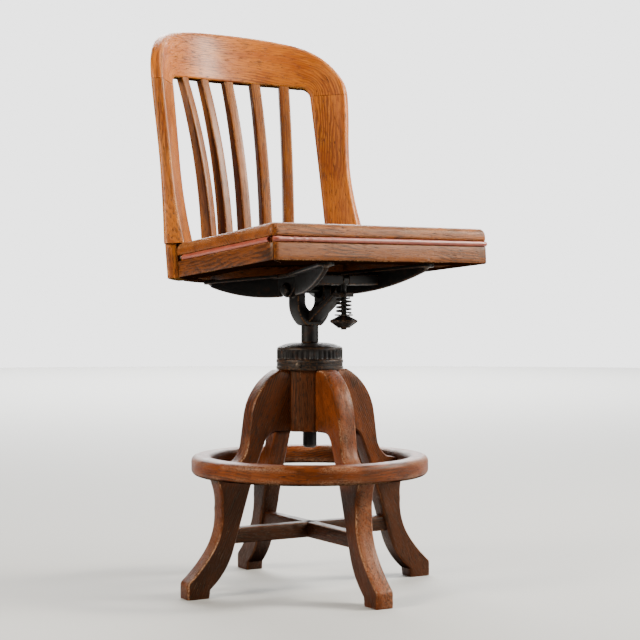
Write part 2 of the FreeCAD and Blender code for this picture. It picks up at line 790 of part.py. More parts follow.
def make_tension_rod():
    body = new_body("tension_rod")
    eye = new_sketch(body, "YZ_Plane", "rod_eye")
    circle(eye, "0", ROD_PIN_HEIGHT, "rod_eye_radius")
    pad(body, eye, "rod_eye_width", both_ways=True)
    shaft = new_sketch(body, "XY_Plane", "rod_shaft", f"{KNOB_BOTTOM} - rod_end")
    circle(shaft, "0", "0", "rod_radius")
    pad(body, shaft, f"{ROD_PIN_HEIGHT} - ({KNOB_BOTTOM} - rod_end)")
    bore = new_sketch(body, "YZ_Plane", "rod_eye_bore")
    circle(bore, "0", ROD_PIN_HEIGHT, "rod_pin_radius + running_gap")
    pocket(body, bore, "2 * rod_eye_width", both_ways=True)
    node(body, "tension_rod", ROD_PLACE)


make_tension_rod()
node(turned("spring_washer", ring_section(
    "rod_radius + running_gap", "spring_washer_radius", f"{SPRING_LOW} - spring_washer_thickness", SPRING_LOW)),
    "spring_washer", ROD_PLACE)


def make_tension_knob():
    body = turned("tension_knob", [
        ("rod_radius + running_gap", KNOB_BOTTOM),
        ("knob_neck_radius", KNOB_BOTTOM),
        ("knob_radius", f"{KNOB_BOTTOM} + knob_height * 0.45"),
        ("knob_radius", f"{KNOB_BOTTOM} + knob_height * 0.65"),
        ("knob_neck_radius", KNOB_TOP),
        ("rod_radius + running_gap", KNOB_TOP),
    ])
    scallop = new_sketch(body, "XY_Plane", "knob_scallop", KNOB_BOTTOM)
    circle(scallop, "knob_scallop_place", "0", "knob_scallop_radius")
    polar(body, pocket(body, scallop, "knob_height", forwards=True), "knob_scallops")
    node(body, "tension_knob", ROD_PLACE)


make_tension_knob()


def biarc(start, start_way, end, end_way):
    """Two arcs from point to point, tangent to both ways and to each other."""
    span = end - start
    ways = start_way + end_way
    square = 2 * (start_way.dot(end_way) - 1)
    linear = -2 * span.dot(ways)
    reach = (-linear - math.sqrt(linear ** 2 - 4 * square * span.dot(span))) / (2 * square)
    meeting = (start + start_way * reach + end - end_way * reach) * 0.5
    arcs = []
    for near, apex, far in ((start, start + start_way * reach, meeting),
                            (meeting, end - end_way * reach, end)):
        chord_middle = (near + far) * 0.5
        rise = apex - chord_middle
        half = (far - near).Length / 2
        radius = reach * half / rise.Length
        sagitta = radius - math.sqrt(radius ** 2 - half ** 2)
        arcs.append(Part.Arc(near, chord_middle + rise * (sagitta / rise.Length), far).toShape())
    return arcs


def make_tilt_spring():
    """The open coil between the lug and the washer: one tube on a helix of quarter-turn biarcs."""
    wire = number("spring_wire")
    radius = number("spring_radius")
    turns = number("spring_turns")
    top = number("lug_bottom") - wire / 2 - number("free_gap")
    fall = number("spring_length") - wire - 2 * number("free_gap")
    steps = round(4 * turns)
    slope = fall / (2 * math.pi * turns)
    points = []
    ways = []
    for step in range(steps + 1):
        angle = step * math.pi / 2
        points.append(Vector(radius * math.cos(angle), radius * math.sin(angle), top - slope * angle))
        ways.append(Vector(-radius * math.sin(angle), radius * math.cos(angle), -slope).normalize())
    edges = []
    for step in range(steps):
        edges += biarc(points[step], ways[step], points[step + 1], ways[step + 1])
    path = Part.Wire(edges)
    section = Part.Wire(Part.Circle(points[0], ways[0], wire / 2).toShape())
    coil = doc.addObject("Part::Feature", "tilt_spring")
    coil.Shape = path.makePipeShell([section], True, False)
    samples = [edge.valueAt(edge.FirstParameter) for edge in edges]
    apart = min((samples[i] - samples[j]).Length - wire
                for i in range(len(samples)) for j in range(i + 4, len(samples)))
    print(f"tilt_spring least gap to itself {apart:.2f} mm")
    node(coil, "tilt_spring", ROD_PLACE)


make_tilt_spring()


# Seat: a slab with a grooved lower edge over a mitred rim of four rails
RIM_TOP = "(rim_bottom + rim_height)"
SLAB_TOP = "(rim_bottom + rim_height + slab_thickness)"
GROOVE_TOP = f"({RIM_TOP} + 2 * bead_radius + joint_gap)"


def seat_plan(sketch, inset):
    """The seat's plan drawn in by an inset: straight front, tapered sides, bowed rear."""
    outline(sketch, [
        (f"-seat_front_half + {inset}", f"seat_front_y + {inset}"),
        (f"seat_front_half - {inset}", f"seat_front_y + {inset}"),
        (f"seat_post_half - {inset}", "seat_post_y", "0", f"seat_rear_y - {inset}"),
        (f"-seat_post_half + {inset}", "seat_post_y"),
    ])


def round_front_corners(body, base, radius, bottom):
    """Rounds the two upright front corners of a pad that starts at a height."""
    doc.recompute()
    front = number("seat_front_y")
    corners = []
    for index, edge in enumerate(base.Shape.Edges, start=1):
        box = edge.BoundBox
        upright = box.ZLength > 1 and box.XLength < 0.01 and box.YLength < 0.01
        starts_here = abs(box.ZMin - number(bottom)) < 0.01
        if upright and starts_here and box.YMin < front + number("groove_depth") + 1:
            corners.append(f"Edge{index}")
    feature = body.newObject("PartDesign::Fillet", base.Name + "_corners")
    feature.Base = (base, corners)
    tie(feature, "Radius", radius)
    return feature


def make_slab():
    """The slab: its upper part overhangs the groove that takes the bead, its top edge is rounded."""
    body = new_body("seat_slab")
    upper = new_sketch(body, "XY_Plane", "slab_plan", GROOVE_TOP)
    seat_plan(upper, "0")
    upper_pad = pad(body, upper, f"{SLAB_TOP} - ({GROOVE_TOP})")
    corners = round_front_corners(body, upper_pad, "seat_corner", GROOVE_TOP)
    doc.recompute()
    top = number(SLAB_TOP)
    rim = [f"Edge{index}" for index, edge in enumerate(corners.Shape.Edges, start=1)
           if edge.BoundBox.ZMin > top - 0.01]
    edge_round = body.newObject("PartDesign::Fillet", "slab_edge_round")
    edge_round.Base = (corners, rim)
    tie(edge_round, "Radius", "slab_round")
    lower = new_sketch(body, "XY_Plane", "slab_foot_plan", RIM_TOP)
    seat_plan(lower, "groove_depth")
    lower_pad = pad(body, lower, f"{GROOVE_TOP} - ({RIM_TOP})")
    round_front_corners(body, lower_pad, "seat_corner - groove_depth", RIM_TOP)
    return body


def make_rim():
    """The rim before it is cut into rails: the seat's plan with the inside open."""
    body = new_body("rim")
    plan = new_sketch(body, "XY_Plane", "rim_plan", "rim_bottom")
    seat_plan(plan, "0")
    round_front_corners(body, pad(body, plan, "rim_height"), "seat_corner", "rim_bottom")
    inside = new_sketch(body, "XY_Plane", "rim_inside", RIM_TOP)
    seat_plan(inside, "rail_width")
    pocket(body, inside, "rim_height")
    return body


def sector(name, corners):
    """An upright block over the rim that marks out one rail."""
    body = new_body(name)
    plan = new_sketch(body, "XY_Plane", name + "_plan", "rim_bottom - rim_height")
    outline(plan, corners)
    pad(body, plan, "3 * rim_height")
    return body


# Back: a board curved in plan and raked, out of which the posts and the crest are sawn
def back_section(body, name, height, centre, front_gap, thickness):
    """One level of the curved board: two arcs about the same upright axis."""
    section = new_sketch(body, "XY_Plane", name, height)
    front = f"{centre} - {front_gap}"
    back = f"{centre} + {thickness}"
    front_end = f"{centre} - back_curve_radius + sqrt((back_curve_radius - {front_gap})^2 - back_half^2)"
    back_end = f"{centre} - back_curve_radius + sqrt((back_curve_radius + {thickness})^2 - back_half^2)"
    outline(section, [
        ("-back_half", front_end, "0", front), ("back_half", front_end),
        ("back_half", back_end, "0", back), ("-back_half", back_end)])
    return section


def rake_text(height):
    """The front line of the board at a height, as the number an expression takes."""
    return f"{rake_y(number(height)):.4f}"


def back_board(name, levels, thickness):
    """The curved board, lofted through its levels so that it is also bent in side view.

    A level is its height and how far its front face stands forward of the board's own face.
    """
    body = new_body(name)
    sections = [back_section(body, f"{name}_{index}", height, rake_text(height), front_gap, thickness)
                for index, (height, front_gap) in enumerate(levels)]
    loft = body.newObject("PartDesign::AdditiveLoft", name + "_loft")
    loft.Profile = sections[0]
    loft.Sections = sections[1:]
    return body


def spread(reach):
    """A length along the curved face as a distance from the middle on the plane the fan is drawn on."""
    return f"fan_distance * tan(({reach}) / back_curve_radius * 180 / pi)"


def fan(name, corners, low, high):
    """A front outline carried outwards from the back's axis, so that its edges stand square to the face.

    The outline is drawn on a plane in front of the axis, which leans with the rake between two heights.
    """
    body = new_body(name)
    front = new_sketch(body, "XZ_Plane", name + "_front")
    outline(front, [(spread(corner[0]), *corner[1:]) for corner in corners])
    doc.recompute()
    low_height = number(low)
    lean = (rake_y(number(high)) - rake_y(low_height)) / (number(high) - low_height)
    axis_y = rake_y(low_height) - lean * low_height - number("back_curve_radius")
    wires = []
    for share in (number("fan_near"), number("fan_far")):
        reach = axis_y + share * number("fan_distance")
        carry = FreeCAD.Matrix(share, 0, 0, 0, 0, 1, lean, reach, 0, 0, 1, 0, 0, 0, 0, 1)
        wires.append(front.Shape.Wires[0].transformGeometry(carry))
    solid = doc.addObject("Part::Feature", name + "_fan")
    solid.Shape = Part.makeLoft(wires, True, True)
    return solid


def on_side(side, right):
    """Corners of the right side, or the same mirrored to the left and still anticlockwise."""
    if side > 0:
        return right
    mirrored = [(f"-({corner[0]})", *corner[1:]) for corner in right]
    ends = [mirrored[index] for index in range(len(mirrored) - 1, -1, -1)]
    flipped = []
    for index, corner in enumerate(ends):
        arc_owner = ends[(index + 1) % len(ends)]
        flipped.append((corner[0], corner[1], *arc_owner[2:]))
    return flipped


# The post above its shoulder is waisted and flares at the seat, the foot below stands in the notch
SHOULDER = f"({SLAB_TOP} + joint_gap)"
POST_CORNERS = [
    ("post_inner_low", SHOULDER),
    ("post_flare_half", SHOULDER, "-post_flare_bow"),
    ("post_middle_half", "post_middle_height"),
    ("crest_half", "crest_joint_height"),
    ("post_inner_top", "crest_joint_height"),
]
FOOT_CORNERS = [
    ("post_inner_low + foot_inset", "rim_bottom"),
    ("post_foot_half", "rim_bottom"),
    ("post_foot_half", f"{SHOULDER} + foot_stub"),
    ("post_inner_low + foot_inset", f"{SHOULDER} + foot_stub"),
]
NOTCH_CORNERS = [
    ("post_inner_low + foot_inset - joint_gap", "rim_bottom - rim_height"),
    ("post_foot_half + back_thickness", "rim_bottom - rim_height"),
    ("post_foot_half + back_thickness", f"{SLAB_TOP} + rim_height"),
    ("post_inner_low + foot_inset - joint_gap", f"{SLAB_TOP} + rim_height"),
]
CREST_CORNERS = [
    ("-crest_half", "crest_joint_height"),
    ("-post_inner_top", "crest_joint_height", "-quarter_bow"),
    ("-post_inner_top + crest_low_corner", "crest_low_height", "-crest_low_bow"),
    ("post_inner_top - crest_low_corner", "crest_low_height", "-quarter_bow"),
    ("post_inner_top", "crest_joint_height"),
    ("crest_half", "crest_joint_height", "crest_turn_bow"),
    ("crest_turn_half", "crest_turn_height", "crest_corner_bow"),
    ("crest_corner_half", "crest_corner_height", "crest_crown_bow"),
    ("-crest_corner_half", "crest_corner_height", "crest_corner_bow"),
    ("-crest_turn_half", "crest_turn_height", "crest_turn_bow"),
]


def rake_y(height):
    """The board's front line in the plane of symmetry at a height, by the parabola of its levels."""
    levels = [(number("rim_bottom"), number("back_low_y")),
              (number("back_middle_height"), number("back_middle_y")),
              (number("back_top_height"), number("back_top_y"))]
    total = 0
    for index, (level, place) in enumerate(levels):
        weight = 1
        for other, (other_level, _) in enumerate(levels):
            if other != index:
                weight *= (height - other_level) / (level - other_level)
        total += weight * place
    return total


def front_point(along, height, behind=0.0):
    """A point so far along the curved board from its middle and so far behind its front face."""
    radius = number("back_curve_radius")
    angle = along / radius
    reach = radius + behind
    return Vector(reach * math.sin(angle), rake_y(height) - radius + reach * math.cos(angle), height)


def facing(along):
    """The board's outward way, back and out from the sitter, so far along it from its middle."""
    angle = along / number("back_curve_radius")
    return Vector(math.sin(angle), math.cos(angle), 0)


SLATS = {-2: "slat_left_outer", -1: "slat_left_inner", 0: "slat_centre",
         1: "slat_right_inner", 2: "slat_right_outer"}


def make_slat(name, place):
    """A slat sawn to a forward curve, deeper at the seat, tenoned into the slab and the crest."""
    low_height = number(SLAB_TOP) - number("slat_tenon")
    top_height = number("crest_low_height + 2 * slat_tenon")
    low = front_point(place * number("slat_low_pitch"), low_height, number("slat_low_behind"))
    top = front_point(place * number("slat_top_pitch"), top_height,
                      number("slat_inset + slat_top_thickness / 2"))
    upwards = (top - low).normalize()
    outwards = facing(place * number("slat_low_pitch + slat_top_pitch") / 2)
    across = outwards.cross(upwards).normalize()
    body = new_body(name)
    side = new_sketch(body, "YZ_Plane", name + "_side")
    length = f"{(top - low).Length:.4f}"
    outline(side, [
        ("-slat_low_thickness / 2", "0"), ("slat_low_thickness / 2", "0", "-slat_bow"),
        ("slat_top_thickness / 2", length), ("-slat_top_thickness / 2", length, "slat_bow")])
    pad(body, side, "slat_width", both_ways=True)
    body.Placement = Placement(low, Rotation(across, upwards.cross(across), upwards, "ZXY"))
    return body


def make_back():
    """Crest and posts sawn out of the curved board, the slats between, and the cuts they make in the seat."""
    knee = f"({SHOULDER} + post_middle_height) / 2"
    plain_levels = [("rim_bottom", "0"), ("back_middle_height", "0"), ("back_top_height", "0")]
    flared_levels = [(SHOULDER, "post_forward"), (knee, "post_forward / 4"), ("post_middle_height", "0"),
                     ("crest_joint_height", "0"), ("back_top_height", "0")]
    notch_levels = [(height, "joint_gap") for height, _ in plain_levels]
    board = back_board("board", plain_levels, "back_thickness")
    flared_board = back_board("flared_board", flared_levels, "back_thickness")
    foot_board = back_board("foot_board", plain_levels, "back_thickness - foot_inset")
    notch_board = back_board("notch_board", notch_levels, "3 * back_thickness")
    slats = {name: make_slat(name, place) for place, name in SLATS.items()}
    doc.recompute()
    slat_set = group("slat_set", list(slats.values()))
    dowels = []
    for side in (-1, 1):
        for share in (0.25, 0.65):
            along = side * number(f"post_inner_top * {1 - share} + crest_half * {share}")
            joint = front_point(along, number("crest_joint_height"), number("back_thickness / 2"))
            low_end = joint - Z_AXIS * number("post_dowel_half_length")
            dowels.append(peg(f"post_dowel_{len(dowels)}", "post_dowel_radius", "2 * post_dowel_half_length",
                              low_end, Z_AXIS))
    dowel_set = group("post_dowel_set", dowels)
    crest_fan = fan("crest", CREST_CORNERS, "crest_joint_height", "back_top_height")
    crest_blank = boolean("Common", "crest_blank", board, crest_fan)
    crest_mortised = boolean("Cut", "crest_mortised", crest_blank, slat_set)
    node(boolean("Cut", "crest_bored", crest_mortised, dowel_set), "crest_rail", SEAT_PLACE)
    notches = []
    for side, name in ((-1, "left_post"), (1, "right_post")):
        upper_fan = fan(name, on_side(side, POST_CORNERS), "rim_bottom", "crest_joint_height")
        foot_fan = fan(name + "_foot", on_side(side, FOOT_CORNERS), "rim_bottom", "crest_joint_height")
        notch_fan = fan(name + "_notch", on_side(side, NOTCH_CORNERS), "rim_bottom", "crest_joint_height")
        upper = boolean("Common", name + "_upper", flared_board, upper_fan)
        foot = boolean("Common", name + "_foot_block", foot_board, foot_fan)
        blank = boolean("Fuse", name + "_blank", upper, foot)
        node(boolean("Cut", name + "_bored", blank, dowel_set), name, SEAT_PLACE)
        notches.append(boolean("Common", name + "_notch_cut", notch_board, notch_fan))
    node(group("post_dowels_placed", [dowel_set]), "post_dowels", SEAT_PLACE)
    for name, body in slats.items():
        node(group(name + "_placed", [body]), name, SEAT_PLACE)
    return group("post_notches", notches), slat_set


POST_NOTCHES, SLAT_SET = make_back()


def make_seat():
    """Slab and rails, cut for the posts, the slats and the dished top."""
    dish = doc.addObject("Part::Sphere", "dish")
    tie(dish, "Radius", "dish_radius")
    dish.Placement = Placement(
        Vector(0, number("dish_centre_y"), number(f"{SLAB_TOP} - dish_depth + dish_radius")), Rotation())
    notched = boolean("Cut", "slab_notched", make_slab(), POST_NOTCHES)
    dished = boolean("Cut", "slab_dished", notched, dish)
    node(boolean("Cut", "slab_mortised", dished, SLAT_SET), "seat_slab", SEAT_PLACE)
    rim = boolean("Cut", "rim_notched", make_rim(), POST_NOTCHES)
    inner = "mitre_inner_half"
    inner_y = "seat_front_y + (seat_front_half - mitre_inner_half)"
    outer = "seat_front_half + rail_width"
    outer_y = "seat_front_y - rail_width"
    rear = "seat_rear_y + rail_width"
    joint_slope = "tan((post_inner_low + 2 * foot_inset) / back_curve_radius * 180 / pi)"
    joint_low = f"{joint_slope} * (seat_post_y - back_low_y + back_curve_radius)"
    joint_rear = f"{joint_slope} * ({rear} - back_low_y + back_curve_radius)"
    rails = {
        "front_rail": [(f"-({outer})", outer_y), (outer, outer_y), (inner, inner_y), (f"-{inner}", inner_y)],
        "right_rail": [(outer, outer_y), (outer, rear), (joint_rear, rear), (joint_low, "seat_post_y"),
                       (inner, inner_y)],
        "left_rail": [(f"-({outer})", outer_y), (f"-{inner}", inner_y), (f"-({joint_low})", "seat_post_y"),
                      (f"-({joint_rear})", rear), (f"-({outer})", rear)],
        "rear_rail": [(f"-({joint_low})", "seat_post_y"), (joint_low, "seat_post_y"), (joint_rear, rear),
                      (f"-({joint_rear})", rear)],
    }
    for name, corners in rails.items():
        node(boolean("Common", name + "_cut", rim, sector(name, corners)), name, SEAT_PLACE)


make_seat()


# Bead: a bumper tube in the groove along both sides and the front, in two lengths, tacked at the rear
def rounded_path(points, radius):
    """Straight runs joined by tangent arcs of one radius."""
    edges = []
    start = points[0]
    for before, corner, after in zip(points, points[1:], points[2:]):
        back = (before - corner).normalize()
        ahead = (after - corner).normalize()
        half_turn = (math.pi - back.getAngle(ahead)) / 2
        reach = radius * math.tan(half_turn)
        arc_start = corner + back * reach
        arc_end = corner + ahead * reach
        bisector = (back + ahead).normalize()
        middle = corner + bisector * (radius / math.cos(half_turn) - radius)
        edges.append(Part.LineSegment(start, arc_start).toShape())
        edges.append(Part.Arc(arc_start, middle, arc_end).toShape())
        start = arc_end
    edges.append(Part.LineSegment(start, points[-1]).toShape())
    return Part.Wire(edges)


def bead_length(name, path_points, corner_radius):
    """One length of the bead: a round tube swept along its path."""
    path = rounded_path(path_points, corner_radius)
    along = (path_points[1] - path_points[0]).normalize()
    section = Part.Wire(Part.Circle(path_points[0], along, number("bead_radius")).toShape())
    bead = doc.addObject("Part::Feature", name + "_sweep")
    bead.Shape = path.makePipeShell([section], True, False)
    node(bead, name, SEAT_PLACE)


def make_bead():
    """The bead's long length runs round the right corner, the short one along the left side."""
    height = number(f"{RIM_TOP} + bead_radius + joint_gap / 2")
    inset = number("bead_inset")
    front_half = number("seat_front_half") - inset
    front_y = number("seat_front_y") + inset
    share = (number("bead_end_y") - front_y) / (number("seat_post_y") - front_y)
    rear_half = front_half + (number("seat_post_half") - inset - front_half) * share
    end_y = number("bead_end_y")
    gap = number("bead_break")
    corner_radius = number("seat_corner") - inset
    left_rear = Vector(-rear_half, end_y, height)
    left_corner = Vector(-front_half, front_y, height)
    left_way = (left_rear - left_corner).normalize()
    bead_length("bumper_bead_left", [left_rear, left_corner + left_way * gap], corner_radius)
    bead_length("bumper_bead", [left_corner + X_AXIS * gap, Vector(front_half, front_y, height),
                                Vector(rear_half, end_y, height)], corner_radius)
    tacks = []
    for side in (-1, 1):
        spot = Vector(side * rear_half, end_y + number("tack_radius + free_gap"), height)
        tacks.append(peg(f"tack_{len(tacks)}", "tack_radius", "tack_length",
                         spot + X_AXIS * side * number("bead_radius"), X_AXIS * -side))
    node(group("tack_set", tacks), "bead_tacks", SEAT_PLACE)


make_bead()


# Spider: top plate, two cheeks on the pivot, four webbed arms and the cross bar for the rod
def make_arm(name, side, tip_y):
    """One arm from a cheek to its pad under a rail: a strap with a tapering web below it."""
    root = Vector(side * number("arm_root_x"), math.copysign(number("arm_root_y"), tip_y), 0)
    tip = Vector(side * number("arm_tip_x"), tip_y, 0)
    length = f"{(tip - root).Length:.4f}"
    body = new_body(name)
    web = new_sketch(body, "XZ_Plane", name + "_web")
    outline(web, [
        ("0", "rim_bottom - arm_depth", "arm_bow"),
        (length, "rim_bottom - arm_strap_thickness - arm_tip_depth"),
        (length, "rim_bottom - arm_strap_thickness / 2"),
        ("0", "rim_bottom - arm_strap_thickness / 2")])
    pad(body, web, "arm_web", both_ways=True)
    strap = new_sketch(body, "XY_Plane", name + "_strap", "rim_bottom - arm_strap_thickness")
    half = "arm_strap_width / 2"
    outline(strap, [
        ("0", f"-{half}"), (length, f"-{half}", f"{length} + {half}", "0"), (length, half), ("0", half)])
    pad(body, strap, "arm_strap_thickness")
    body.Placement = Placement(root, Rotation(X_AXIS, tip - root))
    return body


def make_spider():
    core = new_body("spider_core")
    plate = new_sketch(core, "XY_Plane", "spider_plate", "rim_bottom - plate_thickness")
    rectangle(plate, "-plate_half_width", "-cheek_half_length", "plate_half_width", "cheek_half_length")
    pad(core, plate, "plate_thickness")
    cheek = new_sketch(core, "YZ_Plane", "cheek_side_view")
    plate_low = "rim_bottom - plate_thickness"
    outline(cheek, [
        ("-cheek_side", "cheek_side_height", "0", "-cheek_drop"),
        ("cheek_side", "cheek_side_height"),
        ("cheek_half_length", plate_low), ("-cheek_half_length", plate_low)])
    pad(core, cheek, "2 * cheek_outer", both_ways=True)
    between = new_sketch(core, "XZ_Plane", "between_cheeks")
    rectangle(between, "-cheek_inner", "-2 * cheek_drop", "cheek_inner", plate_low)
    pocket(core, between, "4 * cheek_half_length", both_ways=True)
    bore = new_sketch(core, "YZ_Plane", "cheek_bore")
    circle(bore, "0", "0", "pivot_radius + running_gap")
    pocket(core, bore, "4 * cheek_outer", both_ways=True)
    bar = new_body("spider_bar")
    section = new_sketch(bar, "YZ_Plane", "bar_section")
    rectangle(section, "rod_pin_y - bar_depth / 2", "rod_pin_z - bar_height / 2",
              "rod_pin_y + bar_depth / 2", "rod_pin_z + bar_height / 2")
    pad(bar, section, "2 * bar_half_length", both_ways=True)
    slot = new_sketch(bar, "XZ_Plane", "bar_slot", "-rod_pin_y")
    rectangle(slot, "-rod_eye_width / 2 - free_gap", "rod_pin_z - bar_height",
              "rod_eye_width / 2 + free_gap", "rod_pin_z + bar_height")
    pocket(bar, slot, "2 * bar_depth", both_ways=True)
    hole = new_sketch(bar, "YZ_Plane", "bar_hole")
    circle(hole, "rod_pin_y", "rod_pin_z", "rod_pin_radius + running_gap")
    pocket(bar, hole, "2 * rod_pin_half", both_ways=True)
    arms = []
    for tip in ("arm_front_y", "arm_rear_y"):
        for side in (-1, 1):
            arms.append(make_arm(f"arm_{len(arms)}", side, number(tip)))
    doc.recompute()
    fused = doc.addObject("Part::MultiFuse", "spider_fused")
    fused.Shapes = [core, bar, *arms]
    node(fused, "seat_spider", SEAT_PLACE)


make_spider()

pivot_left = Vector(-number("pivot_half_length"), 0, 0)
pivot_shank = peg("pivot_shank", "pivot_radius", "2 * pivot_half_length + nut_thickness", pivot_left, X_AXIS)
pivot_head = peg("pivot_head", "pivot_head_radius", "pivot_half_length - cheek_outer - free_gap",
                 pivot_left, X_AXIS)
node(boolean("Fuse", "pivot_bolt", pivot_shank, pivot_head), "pivot_pin", SEAT_PLACE)


def make_pivot_nut():
    """The hexagon nut on the pin's right end."""
    body = new_body("pivot_nut")
    across = "nut_across / 2"
    corner = "nut_across / sqrt(3)"
    plan = new_sketch(body, "YZ_Plane", "nut_plan", "cheek_outer + free_gap")
    outline(plan, [
        (across, f"-{corner} / 2"), (across, f"{corner} / 2"), ("0", corner),
        (f"-{across}", f"{corner} / 2"), (f"-{across}", f"-{corner} / 2"), ("0", f"-{corner}")])
    pad(body, plan, "nut_thickness")
    bore = new_sketch(body, "YZ_Plane", "nut_bore")
    circle(bore, "0", "0", "pivot_radius + running_gap")
    pocket(body, bore, "2 * pivot_half_length", forwards=True)
    node(body, "pivot_nut", SEAT_PLACE)


make_pivot_nut()


def make_spacers():
    """Washers that centre the fork between the cheeks."""
    rings = []
    for side in (-1, 1):
        start = Vector(side * number("yoke_half_width + free_gap"), 0, 0)
        name = f"spacer_{len(rings)}"
        outer = peg(name + "_outer", "pivot_head_radius + 2", "cheek_inner - yoke_half_width - free_gap",
                    start, X_AXIS * side)
        inner = peg(name + "_inner", "pivot_radius + running_gap", "cheek_outer", start, X_AXIS * side)
        rings.append(boolean("Cut", name, outer, inner))
    node(group("spacer_set", rings), "pivot_spacers", SEAT_PLACE)


make_spacers()
rod_pin = peg("rod_cross_pin", "rod_pin_radius", "2 * rod_pin_half",
              Vector(-number("rod_pin_half"), number("rod_pin_y"), number("rod_pin_z")), X_AXIS)
node(group("rod_pin_placed", [rod_pin]), "rod_pin", SEAT_PLACE)

strap_low = number("rim_bottom - arm_strap_thickness")
spider_screws = []
for tip in ("arm_front_y", "arm_rear_y"):
    for side in (-1, 1):
        spot = Vector(side * number("arm_tip_x"), number(tip), strap_low)
        spider_screws.append(screw(f"spider_screw_{len(spider_screws)}", "spider_screw",
                                   "spider_screw_head_height", spot, Z_AXIS))
node(group("spider_screw_set", spider_screws), "spider_screws", SEAT_PLACE)

post_screws = []
for side in (-1, 1):
    for level in ("rim_bottom + rim_height / 2", f"{SLAB_TOP} - slab_thickness / 2"):
        half = side * number("post_screw_half")
        spot = front_point(half, number(level), number("back_thickness - foot_inset"))
        post_screws.append(screw(f"post_screw_{len(post_screws)}", "post_screw",
                                 "post_screw_head_height", spot, facing(half) * -1))
node(group("post_screw_set", post_screws), "post_screws", SEAT_PLACE)


doc.recompute()
for thing in doc.Objects:
    if "Invalid" in thing.State or "Error" in thing.State:
        raise RuntimeError(f"{thing.Name} failed: {thing.State}")
for thing in NODES:
    if thing.Shape.isNull() or not thing.Shape.isValid() or not thing.Shape.Solids:
        raise RuntimeError(f"{thing.Label} has no valid solid")

os.makedirs("parts", exist_ok=True)
whole = FreeCAD.BoundBox()
for thing in NODES:
    thing.Shape.exportStep(f"parts/{thing.Label}.step")
    whole.add(thing.Shape.optimalBoundingBox(False))
    print(f"{thing.Label}: {len(thing.Shape.Solids)} solid(s), {thing.Shape.Volume / 1000:.1f} cm3")
print(f"whole box x {whole.XMin:.1f} {whole.XMax:.1f} y {whole.YMin:.1f} {whole.YMax:.1f} "
      f"z {whole.ZMin:.1f} {whole.ZMax:.1f}")
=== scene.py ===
"""Looks of the oak swivel stool: worn varnished wood, black iron and a perished rubber bead.

Shapes are worked out in millimetres and written in metres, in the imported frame: +Z is up, the front
faces -Y. Base pieces are drawn about the swivel axis, seat pieces about the tilt pivot.
"""
import logging
import math
from collections.abc import Callable, Sequence
from dataclasses import dataclass, field
from enum import Enum

import bmesh
import bpy
import numpy as np
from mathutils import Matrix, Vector


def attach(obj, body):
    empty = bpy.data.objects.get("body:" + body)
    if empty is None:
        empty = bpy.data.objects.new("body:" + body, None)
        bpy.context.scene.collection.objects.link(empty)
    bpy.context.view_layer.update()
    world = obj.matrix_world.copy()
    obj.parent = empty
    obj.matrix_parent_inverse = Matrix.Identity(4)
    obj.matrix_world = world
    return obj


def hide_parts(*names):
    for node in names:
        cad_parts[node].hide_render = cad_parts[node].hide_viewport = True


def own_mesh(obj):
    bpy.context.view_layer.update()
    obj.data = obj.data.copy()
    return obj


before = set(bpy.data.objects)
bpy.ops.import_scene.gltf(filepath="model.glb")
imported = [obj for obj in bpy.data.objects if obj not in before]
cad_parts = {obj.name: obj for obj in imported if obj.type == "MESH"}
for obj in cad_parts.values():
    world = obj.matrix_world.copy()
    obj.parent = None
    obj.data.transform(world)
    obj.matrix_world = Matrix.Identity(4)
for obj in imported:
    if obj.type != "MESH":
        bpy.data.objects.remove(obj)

logging.basicConfig(level=logging.INFO, format="%(message)s")
log = logging.getLogger("stool")

Array = np.ndarray
Place = Callable[[Array], Array]
BoardPlace = Callable[[Array, Array], Array]
Socket = bpy.types.NodeSocket
Feed = Socket | float | Sequence[float]

METRE = 0.001
AXIS_Y = -30.0
BASE_TURN = math.radians(-4.0)
SEAT_TILT = math.radians(4.2)
PIVOT_HEIGHT = 532.0
SMOOTH_ANGLE = math.radians(38.0)
QUARTER = (math.sqrt(2) - 1) / 2
SIDES = {-1.0: "left", 1.0: "right"}


class Body(Enum):
    """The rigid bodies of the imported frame."""

    BASE = "base"
    WHEEL = "wheel"
    SPINDLE = "spindle"
    SEAT = "seat"
    ROD = "rod"
    KNOB = "knob"


class Slot(Enum):
    """The record's material slots."""

    BACK_OAK = "back_oak"
    SEAT_OAK = "seat_oak"
    BASE_OAK = "base_oak"
    DOWEL = "dowel_wood"
    IRON = "cast_iron"
    STEEL = "worked_steel"
    SCREW = "screw_steel"
    BEAD = "bead_rubber"


# Places: from a piece's own millimetres to the frame's millimetres

def base_place(turn: float = 0.0) -> Place:
    """Places points drawn about the swivel axis.

    Args:
        turn: Further turn about the axis, in degrees.
    Returns:
        The function that moves an array of points.
    """
    angle = BASE_TURN + math.radians(turn)
    cos, sin = math.cos(angle), math.sin(angle)

    def move(points: Array) -> Array:
        """Turns the points and moves them to the axis."""
        x, y, z = np.moveaxis(points, -1, 0)
        return np.stack([x * cos - y * sin, x * sin + y * cos + AXIS_Y, z], axis=-1)

    return move


def axis_place(points: Array) -> Array:
    """Places points drawn about the swivel axis on what turns with the seat."""
    return points + np.array([0.0, AXIS_Y, 0.0])


def seat_place(points: Array) -> Array:
    """Places points drawn about the tilt pivot, with the seat level, at the seat's rest tilt."""
    x, y, z = np.moveaxis(points, -1, 0)
    cos, sin = math.cos(SEAT_TILT), math.sin(SEAT_TILT)
    return np.stack([x, y * cos + z * sin + AXIS_Y, PIVOT_HEIGHT + z * cos - y * sin], axis=-1)


# Curves in a plane

